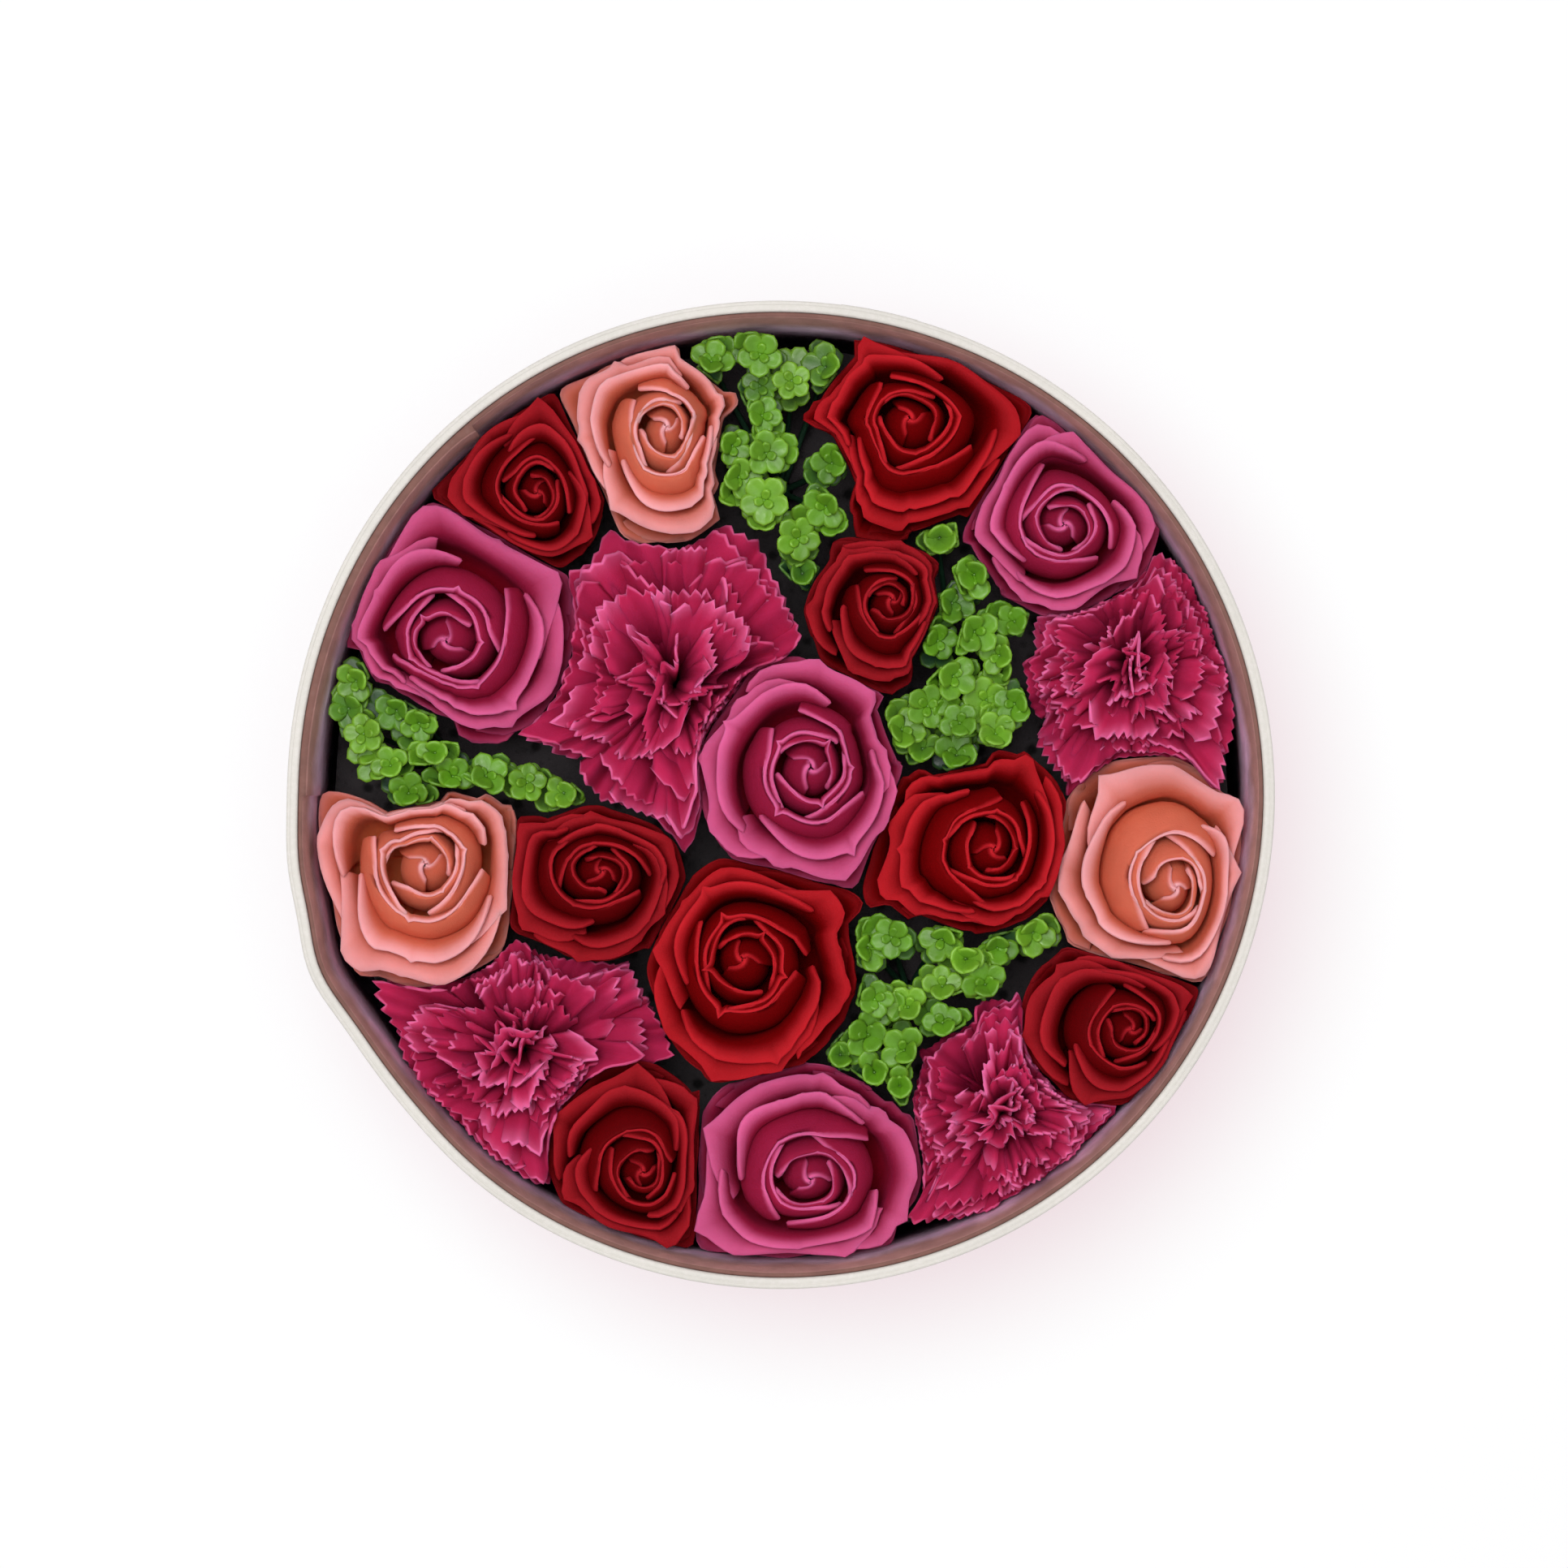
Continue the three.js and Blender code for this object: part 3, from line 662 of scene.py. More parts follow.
@dataclass(frozen=True)
class LinerFinish:
    """Kraft strip: brown near the rim, a paler lilac lower down, and darker along its cut edge. The turn from
    brown to lilac with height is painted light: it stands in for how the light changes down the narrow gap
    beside the heads, the paler lilac lifting the shade lower down.

    Attributes:
        name: name of the material.
        cut: colour along the cut edge.
        top: colour near the rim.
        low: paler lilac lower down, painted light in the gap.
        turn: heights in metres between which the low colour turns into the upper one.
        uneven: how much higher or lower in metres that may be, half of it either way.
    """

    name: str
    cut: Colour
    top: Colour
    low: Colour
    turn: tuple[float, float] = (0.087, 0.096)
    uneven: float = 0.012

    def material(self, effects: Effects) -> Look:
        """The finish as a material.

        Args:
            effects: the shared node groups.

        Returns:
            The material.
        """
        made = Material(self.name, effects)
        place = made.place()
        height = made.add("ShaderNodeSeparateXYZ", {0: place}).outputs["Z"]
        cloud = made.add("ShaderNodeTexNoise", {"Vector": place, "Scale": 60.0, "Detail": 4.0})
        lower = made.math("SUBTRACT", height, self.uneven / 2)
        level = made.math("MULTIPLY_ADD", cloud.outputs[0], self.uneven, lower)
        # Painted light: the colour by height stands in for the light down the gap, brown near the rim and a
        # paler lilac lower down
        face = made.mix(made.spread(level, *self.turn), self.low, self.top)
        body = made.mix(made.spread(made.tone(), 0.0, 1.0), face, self.cut)
        grain = made.grain(scale=1100.0, pits=0.4)
        colour = made.clouds(body, scale=220.0, depth=0.1)
        rough = made.spread(grain.outputs["Mask"], 0.0, 0.6, 0.72, 0.9)
        return made.finish(colour, rough, grain.outputs["Height"], depth=0.00012)


@dataclass(frozen=True)
class FoamFinish:
    """Dark crumbly floral foam, its near-black colour partly painted shade of the deep gaps between the
    heads.
    """

    name: str
    pit: Colour
    face: Colour

    def material(self, effects: Effects) -> Look:
        """The finish as a material.

        Args:
            effects: the shared node groups.

        Returns:
            The material.
        """
        made = Material(self.name, effects)
        grain = made.grain(scale=420.0, pits=1.0)
        body = made.mix(made.spread(grain.outputs["Mask"], 0.1, 0.5), self.pit, self.face)
        colour = made.clouds(body, scale=60.0, depth=0.25)
        rough = made.spread(grain.outputs["Mask"], 0.0, 0.5, 0.98, 0.85)
        return made.finish(colour, rough, grain.outputs["Height"], depth=0.0008)


@dataclass(frozen=True)
class FloorFinish:
    """Pale sheet that glows as a light table does, with a painted shadow round the box: its glow is a little
    less and pinker beside the box.

    Attributes:
        name: name of the material.
        face: its own colour.
        near: glow beside the box, dimmer and pinker as painted shadow.
        glow: glow farther away.
        turn: distances in metres from its middle between which the one turns into the other.
    """

    name: str
    face: Colour
    near: Colour
    glow: Colour
    turn: tuple[float, float] = (0.11, 0.16)

    def material(self, effects: Effects) -> Look:
        """The finish as a material.

        Args:
            effects: the shared node groups.

        Returns:
            The material.
        """
        made = Material(self.name, effects)
        grain = made.grain(scale=300.0, pits=0.1)
        colour = made.clouds(self.face, scale=2.0, depth=0.004)
        away = made.add("ShaderNodeVectorMath", {0: made.place()}, operation="LENGTH").outputs["Value"]
        # Painted shadow: the glow dims and turns pinker near the box
        glow = made.mix(made.spread(away, *self.turn), self.near, self.glow)
        return made.finish(
            colour, 0.8, grain.outputs["Height"], depth=0.00002,
            Specular_IOR_Level=0.1, Emission_Color=glow, Emission_Strength=1.0,
        )


class Finish(Enum):
    """The finishes, each named after the record's slot that it belongs to."""

    WRAPPED_BOARD = WrapFinish(
        "cream_wrap", face=linear(219, 215, 210), worn=linear(211, 208, 201), bare=linear(150, 116, 104),
    )
    # The liner's top and low colours paint the light down the gap by height
    LINER_PAPER = LinerFinish(
        "kraft_liner", cut=linear(124, 86, 78), top=linear(180, 134, 128), low=linear(250, 212, 246),
    )
    # The foam's near-black colour is partly painted shade of the gaps between the heads
    FLORAL_FOAM = FoamFinish("dark_foam_gap_shade", pit=linear(20, 18, 19), face=linear(62, 57, 60))
    # Petal colours with painted light: each deep colour is painted shade (magenta) or a brighter, more
    # saturated painted glow in the folds (salmon, mauve, reds), and each edge colour is partly painted
    # highlight
    SALMON_PETAL = PetalFinish(
        "salmon_foam", deep=linear(255, 138, 86), face=linear(202, 102, 80), edge=linear(238, 169, 176),
    )
    MAUVE_PETAL = PetalFinish(
        "mauve_foam", deep=linear(170, 8, 34), face=linear(147, 26, 62), edge=linear(220, 101, 155),
    )
    RED_PETAL = PetalFinish(
        "red_foam", deep=linear(124, 0, 2), face=linear(112, 0, 3), edge=linear(194, 32, 42),
    )
    DARK_RED_PETAL = PetalFinish(
        "deep_red_foam", deep=linear(104, 0, 2), face=linear(94, 0, 4), edge=linear(172, 29, 40),
    )
    MAGENTA_PETAL = PetalFinish(
        "magenta_foam", deep=linear(90, 0, 24), face=linear(180, 37, 82), edge=linear(232, 108, 162),
    )
    MOULDED_STEM = LeafFinish(
        "stem_plastic", low=linear(46, 66, 40), face=linear(70, 100, 48), edge=linear(84, 118, 60),
        gloss=0.45,
    )
    # Its low colour, a darker blue-green, is painted shade of the lower leaves deep in the box
    LEAF_PLASTIC = LeafFinish(
        "leaf_plastic", low=linear(34, 72, 50), face=linear(90, 144, 20), edge=linear(124, 176, 44),
        gloss=0.34,
    )

    @property
    def slot(self) -> str:
        """Name of the record's slot."""
        return self.name.lower()


# Rooms


@dataclass(frozen=True)
class Fit:
    """How petals fill their room.

    Attributes:
        fullest: the farthest that a point may be, as a multiple of the reach.
        corners: how far they press into the corners of the room: the power of its outline.
    """

    fullest: float
    corners: float


SNUG = Fit(fullest=1.13, corners=8)
WIDE = Fit(fullest=1.44, corners=20)


@dataclass(eq=False)
class Place:
    """Where a head or a rosette stands and the room that it has among its neighbours.

    The room is bounded by planes between neighbours, leaning with their heights, and by the liner.
    Where a carnation lies against a rose, or a head against a rosette of leaves, its room follows
    the outline of the other instead.

    Attributes:
        x: place of the axis, in millimetres.
        y: the same.
        top: height of the top.
        reach: how far it reaches to the left, right, back and front.
        least: least distance that a neighbour leaves it.
        rank: 2 for a rose, which keeps its reach where a carnation, of rank 1, doesn't; a rosette
            of leaves has none.
        planes: normal and distance of each plane.
        roses: roses beside a carnation and rosettes beside a head, each with its plane.
        frills: carnations beside a rose.
    """

    x: float
    y: float
    top: float
    reach: tuple[float, float, float, float]
    least: float
    rank: int
    planes: Array = field(default_factory=lambda: np.empty((0, 4)))
    roses: list[tuple["Place", tuple[float, ...]]] = field(default_factory=list)
    frills: list["Place"] = field(default_factory=list)

    def reach_of(self, dx: Array, dy: Array) -> Array:
        """Reach in a direction: a quarter of an ellipse between the reaches on either side.

        Args:
            dx: direction, as a vector of any length.
            dy: the same.

        Returns:
            The reach.
        """
        left, right, back, front = self.reach
        length = np.maximum(np.hypot(dx, dy), 1e-9)
        across = np.where(dx < 0, left, right)
        along = np.where(dy < 0, front, back)
        return 1 / np.hypot(dx / length / across, dy / length / along)

    def plane_to(self, other: "Place", level: bool) -> tuple[float, float, float, float]:
        """Plane between this place and another: its normal and its distance from this one.

        It lies where two balls of the two reaches meet. Where a rose and a carnation, or a head
        and a rosette of leaves, want the same room, the one of higher rank keeps its reach. Where
        a head and a rosette have room to spare, the plane lies LEAF_ROOM off the rosette's reach.

        Args:
            other: the other place.
            level: whether the plane stands upright, whatever the two heights.

        Returns:
            The three numbers of the normal, and the distance.
        """
        dx, dy = other.x - self.x, other.y - self.y
        dz = 0.0 if level else other.top - self.top
        apart = float(np.sqrt(dx**2 + dy**2 + dz**2))
        mine, theirs = float(self.reach_of(dx, dy)), float(other.reach_of(-dx, -dy))
        share = (apart**2 + mine**2 - theirs**2) / (2 * apart)
        if mine + theirs > apart and self.rank != other.rank:
            share = mine if self.rank > other.rank else apart - theirs
        if mine + theirs < apart - 2 * LEAF_ROOM and 0 in (self.rank, other.rank):
            share = mine + LEAF_ROOM if self.rank == 0 else apart - theirs - LEAF_ROOM
        least = min(self.least, apart / 2)
        most = apart - min(other.least, apart / 2)
        return dx / apart, dy / apart, dz / apart, min(max(share, least), most) - HALF_GAP

    def settle(self, heads: Sequence["Place"], rosettes: Sequence["Place"]) -> None:
        """Works out the planes between this place and its neighbours.

        Args:
            heads: places of all the heads.
            rosettes: places of all the rosettes.
        """
        def near(other: "Place") -> bool:
            """Whether another place is close enough to matter."""
            return other is not self and np.hypot(other.x - self.x, other.y - self.y) < NEARBY

        leafy = self.rank == 0
        close = [other for other in heads if leafy or near(other)]
        above = [other for other in close if 0 < self.rank < other.rank]
        planes = [self.plane_to(other, leafy) for other in close if other not in above]
        self.planes = np.array(planes).reshape(-1, 4)
        self.roses = [(other, self.plane_to(other, False)) for other in above]
        self.roses += [(other, self.plane_to(other, True)) for other in rosettes if not leafy and near(other)]
        self.frills = [other for other in close if 0 < other.rank < self.rank]

    def to_plane(self, plane: Sequence[Array], ux: Array, uy: Array, z: Array) -> Array:
        """Distance from the axis to a plane, in a direction, at a height.

        A leaning plane has its stated distance a little below the top, at the widest petals.

        Args:
            plane: its normal and distance.
            ux: direction, as a vector of length one.
            uy: the same.
            z: height.

        Returns:
            The distance.
        """
        nx, ny, nz, distance = plane
        widest = self.top - 12
        left = np.maximum(distance - nz * (z - widest), 1.0)
        return left / np.maximum(nx * ux + ny * uy, 1e-3)

    def beside(self, other: "Place", ux: Array, uy: Array) -> tuple[Array, Array, Array]:
        """How far ahead and aside another place lies in a direction, and its reach to that line.

        Args:
            other: the other place.
            ux: direction, as a vector of length one.
            uy: the same.

        Returns:
            The three distances.
        """
        x, y = other.x - self.x, other.y - self.y
        ahead = x * ux + y * uy
        return ahead, np.abs(x * uy - y * ux), other.reach_of(ahead * ux - x, ahead * uy - y)

    def to_outline(self, rose: "Place", ux: Array, uy: Array) -> Array:
        """Distance from the axis to the outline of a rose or a rosette, in a direction.

        The outline is met where a line crosses it, found in a few steps because the reach changes
        round the rose. Lines that pass beside it end farther out the wider they pass.

        Args:
            rose: the rose or the rosette.
            ux: direction, as a vector of length one.
            uy: the same.

        Returns:
            The distance.
        """
        ahead, aside, edge = self.beside(rose, ux, uy)
        for _ in range(4):
            meet = ahead - np.sqrt(np.maximum(edge**2 - aside**2, 0))
            edge = rose.reach_of(meet * ux - rose.x + self.x, meet * uy - rose.y + self.y)
        edge = edge + (2 * HALF_GAP if rose.rank else LEAF_ROOM)
        passed = ahead - np.sqrt(np.maximum(edge**2 - aside**2, 0)) + 4 * np.maximum(aside - edge, 0)
        return np.where(ahead > 0, passed, BEYOND)

    def room_at(self, ux: Array, uy: Array, z: Array, corners: float) -> Array:
        """Distance from the axis to the edge of the room, in a direction, at a height.

        Where two bounds meet, the corner between them is rounded off inwards. Beside a carnation
        the room also ends a little outside the place's own reach, and farther out past its sides.

        Args:
            ux: direction, as a vector of length one.
            uy: the same.
            z: height.
            corners: power of the outline: the higher, the sharper its corners.

        Returns:
            The distance.
        """
        shape = (-1,) + (1,) * np.ndim(ux)
        planes = [self.planes[:, k].reshape(shape) for k in range(4)]
        bounds = list(self.to_plane(planes, ux, uy, z))
        for rose, plane in self.roses:
            bounds.append(np.maximum(self.to_plane(plane, ux, uy, z), self.to_outline(rose, ux, uy)))
        along = self.x * ux + self.y * uy
        bounds.append(-along + np.sqrt(along**2 + FIELD_RADIUS**2 - self.x**2 - self.y**2))
        room = (np.stack(bounds) ** -corners).sum(0) ** (-1 / corners)
        for frill in self.frills:
            ahead, aside, edge = self.beside(frill, ux, uy)
            past = np.maximum(aside - 1.12 * edge - 2, 0)
            own = 1.04 * self.reach_of(ux, uy) + 0.5 * past
            room = np.where(ahead > 0, np.minimum(room, own), room)
        return room

    def kept(self, x: Array, y: Array, z: Array) -> Array:
        """Points, those outside the room moved back to its edge.

        Args:
            x: place of the points.
            y: the same.
            z: height of the points.

        Returns:
            The points.
        """
        dx, dy = x - self.x, y - self.y
        distance = np.maximum(np.hypot(dx, dy), 1e-6)
        room = self.room_at(dx / distance, dy / distance, z, SHARP) - 0.4
        share = np.minimum(distance, room) / distance
        return np.stack([self.x + dx * share, self.y + dy * share, z], -1)

    def fitted(self, x: Array, y: Array, z: Array, fit: Fit) -> Array:
        """Points moved towards the axis until they stand in the room.

        The farther out a point is, the more it moves, and a point at the fullest reach ends at
        the edge of the room. The share of the room that is left outside a point is the share of
        the fullest reach that was left outside it, to the power of that reach over the room.

        Args:
            x: place of the points.
            y: the same.
            z: height of the points.
            fit: how they fill the room.

        Returns:
            The points.
        """
        dx, dy = x - self.x, y - self.y
        distance = np.maximum(np.hypot(dx, dy), 1e-6)
        reach = fit.fullest * self.reach_of(dx, dy)
        room = self.room_at(dx / distance, dy / distance, z, fit.corners)
        part = np.minimum(distance / reach, 1)
        moved = np.where(room < reach, room * (1 - (1 - part) ** (reach / room)), distance)
        return np.stack([self.x + dx * moved / distance, self.y + dy * moved / distance, z], -1)


# Heads


@dataclass(frozen=True)
class Layer:
    """Petals of one layer of a rose.

    Attributes:
        profile: radius and height of a petal's middle line from root to rim, as shares.
        count: number of petals.
        turn: turn of the first petal, in degrees.
        step: turn from each petal to the next, in degrees.
        half: half of the angle that a petal spans, in degrees.
        drop: how far the rim falls from its middle to its sides, as a share of the length.
        power: how late that fall comes.
        thickness: thickness of a petal in millimetres.
        spiral: how far the tucked side lies inside the free side, in millimetres.
        lip: share of the length at which the paler lip starts.
        wave: height of the rim's slow waves, as a share of the radius.
        nub: how far the middle of the rim is drawn out into a point, as a share of the radius.
        corner: how far two points of the rim stand out on either side of the middle.
        shrink: share by which each petal is narrower than the one before.
        opening: how much the petals of an open rose lean out at the rim, as a share of the radius.
        faces: whether the turn is counted from the smooth side of the bud.
        fit: how they fill the room.
    """

    profile: tuple[tuple[float, float], ...]
    count: int
    turn: float
    step: float
    half: float
    drop: float
    power: float
    thickness: float
    spiral: float
    # lip: share of the length at which the paler lip starts, paler partly as painted highlight on the rim.
    lip: float
    wave: float = 0.0
    nub: float = 0.0
    corner: float = 0.0
    shrink: float = 0.0
    opening: float = 0.0
    faces: bool = False
    fit: Fit = SNUG


COLLAR = Layer(
    ((0.22, 0.02), (0.6, 0.04), (0.86, 0.13), (0.98, 0.3), (1.05, 0.46), (1.2, 0.58), (1.42, 0.6)),
    count=5, turn=50, step=72, half=52, drop=0.1, power=3.0, thickness=1.1, spiral=1.4, lip=0.6,
    wave=0.04, corner=0.06, fit=WIDE,
)
GUARD = Layer(
    (
        (0.25, 0.2), (0.5, 0.3), (0.66, 0.42), (0.73, 0.56), (0.755, 0.69), (0.79, 0.79), (0.86, 0.855),
        (0.95, 0.875), (1.03, 0.865),
    ),
    count=3, turn=0, step=120, half=80, drop=0.24, power=3.4, thickness=1.15, spiral=2.2, lip=0.5,
    wave=0.045, nub=0.06, corner=0.14,
)
MIDDLE = Layer(
    (
        (0.2, 0.28), (0.45, 0.37), (0.6, 0.49), (0.66, 0.62), (0.68, 0.75), (0.695, 0.85), (0.73, 0.915),
        (0.79, 0.945), (0.86, 0.95),
    ),
    count=2, turn=95, step=155, half=78, drop=0.28, power=3.0, thickness=1.3, spiral=2.0, lip=0.7,
    wave=0.02, nub=0.1, shrink=0.03, opening=0.03,
)
BUD = Layer(
    (
        (0.16, 0.34), (0.4, 0.42), (0.57, 0.53), (0.64, 0.66), (0.635, 0.78), (0.575, 0.88), (0.49, 0.945),
        (0.43, 0.972), (0.445, 0.985),
    ),
    count=5, turn=0, step=137.5, half=104, drop=0.32, power=2.8, thickness=1.2, spiral=1.3, lip=0.88,
    wave=0.01, nub=0.08, shrink=0.12, opening=0.07, faces=True,
)
HEART = Layer(
    (
        (0.07, 0.42), (0.19, 0.5), (0.23, 0.62), (0.23, 0.74), (0.2, 0.82), (0.145, 0.88), (0.09, 0.915),
        (0.045, 0.938), (0.02, 0.962),
    ),
    count=3, turn=60, step=120, half=92, drop=0.3, power=2.6, thickness=1.15, spiral=1.1, lip=0.8,
    shrink=0.02, faces=True,
)


class Kind(Enum):
    """Kinds of head: the value is the depth from top to foot in millimetres."""

    ROSE = 37.0
    SMALL_ROSE = 29.0
    CARNATION = 34.0

    @property
    def rank(self) -> int:
        """Rank among the heads: a rose keeps its reach against a carnation."""
        return 1 if self is Kind.CARNATION else 2

    @property
    def least(self) -> float:
        """Least share of its radius that a neighbour leaves it."""
        return 0.36 if self is Kind.CARNATION else 0.55

    @property
    def layers(self) -> tuple[Layer, ...]:
        """The layers of a rose.

        Returns:
            The layers, from the outside in.
        """
        if self is Kind.ROSE:
            return COLLAR, GUARD, MIDDLE, BUD, HEART
        return COLLAR, GUARD, replace(MIDDLE, count=3, step=130), replace(BUD, shrink=0.13), HEART


@dataclass
class Head:
    """A flower head on its stem.

    Attributes:
        name: name of its node.
        kind: what flower it is.
        finish: finish of its petals.
        reach: how far it reaches to the left, right, back and front, in millimetres.
        bud: offset of the bud from the axis, in millimetres.
        turn: turn of the petals in degrees.
        face: direction of the smooth side of the bud, in degrees.
        wind: 1 or -1, the way the petals wind.
        openness: how far the bud has opened, from 0 to 1.
        nubs: how far its petals are drawn out into points, from 0 to 1.
        place: where it stands, with its room.
        bottom: height of its foot.
    """

    name: str
    kind: Kind
    finish: Finish
    reach: tuple[float, float, float, float]
    bud: tuple[float, float]
    turn: float
    face: float
    wind: int
    openness: float
    nubs: float = 0.15
    place: Place = field(init=False)
    bottom: float = field(init=False)

    def __post_init__(self) -> None:
        """Reads the place of the head from its stem, whose cup carries it."""
        low, high = (np.array(corner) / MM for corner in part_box(f"stem_{self.name}"))
        x, y = (low[:2] + high[:2]) / 2
        self.bottom = high[2] + GAP
        top, least = self.bottom + self.kind.value, self.kind.least * self.radius
        self.place = Place(x, y, top, self.reach, least, self.kind.rank)

    @property
    def radius(self) -> float:
        """Mean reach."""
        return sum(self.reach) / 4

    def points(self, r: Array, angle: Array, h: Array, fit: Fit = SNUG) -> Array:
        """Points of the head at a distance from the axis, an angle and a height above its foot.

        The reach varies round the axis, the upper parts near the axis lean towards the bud's
        offset, and all of it is then fitted into the head's room.

        Args:
            r: distance from the axis in millimetres, for a head of mean reach.
            angle: angle round the axis.
            h: height above the foot in millimetres.
            fit: how they fill the room.

        Returns:
            The points.
        """
        ux, uy = np.cos(angle), np.sin(angle)
        part = r / self.radius
        reach = part * self.place.reach_of(ux, uy)
        lean = np.maximum(1 - part**2, 0) * (h / self.kind.value)
        x = self.place.x + ux * reach + self.bud[0] * lean
        y = self.place.y + uy * reach + self.bud[1] * lean
        return self.place.fitted(x, y, self.bottom + h, fit)

    def shell(self, draw: np.random.Generator) -> Shell:
        """The petals of the head."""
        return Carnation(self, draw).shell() if self.kind is Kind.CARNATION else Rose(self, draw).shell()


@dataclass
class Rose:
    """Rose of foam petals: layers of petals that wind round a closed heart.

    Attributes:
        head: place and size of the rose.
        draw: random draws for the small differences between petals.
        across: even steps across a petal.
        along: even steps along a petal.
        nub_width: width over which a nub falls off, as a share of half a petal's width.
        corner_at: where the corners stand, as the same share.
        corner_width: width over which they fall off.
        stray: how far a petal may be turned away from its place, in degrees.
    """

    head: Head
    draw: np.random.Generator
    across: int = 29
    along: int = 11
    nub_width: float = 0.035
    corner_at: float = 0.45
    corner_width: float = 0.06
    stray: float = 7.0

    def shell(self) -> Shell:
        """All the petals."""
        return Shell.joined([self.layer(layer) for layer in self.head.kind.layers])

    def grid(self) -> tuple[Array, Array]:
        """Place across a petal from -1 to 1 and along it from 0 to 1, closer at its edges.

        Returns:
            The two, shaped to go with a number for each petal.
        """
        even = 2 * spaced(self.across, (0.004, 0.011), both=True) - 1
        u = even * (0.7 + 0.3 * even**2)
        v = spaced(self.along, (0.004, 0.013), both=False)
        return u[None, None, :], v[None, :, None]

    def layer(self, layer: Layer) -> Shell:
        """Petals of one layer.

        A petal's middle line follows the layer's profile. Its rim falls towards its sides as a
        power of the distance from the middle, and is drawn outwards into a point at its nub or
        corners, which fall off exponentially on both sides. Its free side lies farther out
        than its tucked side, and each petal of a bud lies inside the one before.

        Args:
            layer: what its petals are like.

        Returns:
            The petals.
        """
        head = self.head
        u, v = self.grid()
        number = np.arange(layer.count)[:, None, None]
        draws = self.draw.uniform(-1, 1, (6, layer.count, 1, 1))
        by_turn, by_place, by_drop, by_size, by_phase, by_lean = draws
        start = (head.face if layer.faces else head.turn) + head.wind * layer.turn
        centre = np.radians(start + head.wind * layer.step * number + self.stray * by_turn)
        side = np.abs(u)
        tip = layer.nub * head.nubs * (1 + 0.4 * by_size) * np.exp(-side / self.nub_width) * v**9
        corner = layer.corner * np.exp(-np.abs(side - self.corner_at - 0.08 * by_place) / self.corner_width)
        rim = 1 - (layer.drop + 0.05 * by_drop) * side**layer.power
        line = through(layer.profile, v * np.minimum(rim, 1.0))
        angle = centre + np.radians(layer.half * (1 + 0.06 * by_size)) * u * (0.75 + 0.25 * v**0.7)
        wave = layer.wave * np.sin(2.6 * np.pi * u + 3 * by_phase) * v**3
        scale = 1 - layer.shrink * number
        flare = layer.opening * head.openness * v**4 * scale + 1.2 * corner * v**5 + tip
        r = (line[..., 0] * scale + wave + flare + 0.015 * by_lean * v**2) * head.radius
        r = r + head.wind * layer.spiral * u
        height = line[..., 1] + (0.012 * number * (layer.shrink > 0) + 0.012 * by_place) * v**2
        h = (height + 0.4 * wave - 0.3 * tip) * head.kind.value
        lip = np.clip((v - layer.lip) / (1 - layer.lip), 0, 1) * rim
        # Tone rises with height and at the lip: painted shade low in the head, painted highlight on the upper
        # parts and rims, with the paler cut lip
        tone = 0.12 + 0.43 * np.clip(line[..., 1], 0, 1) ** 1.5 + 0.42 * lip
        h = np.minimum(h, head.kind.value)
        middle = head.points(np.maximum(r, 0.4), angle, h, layer.fit)
        return thickened(middle, layer.thickness, tone)


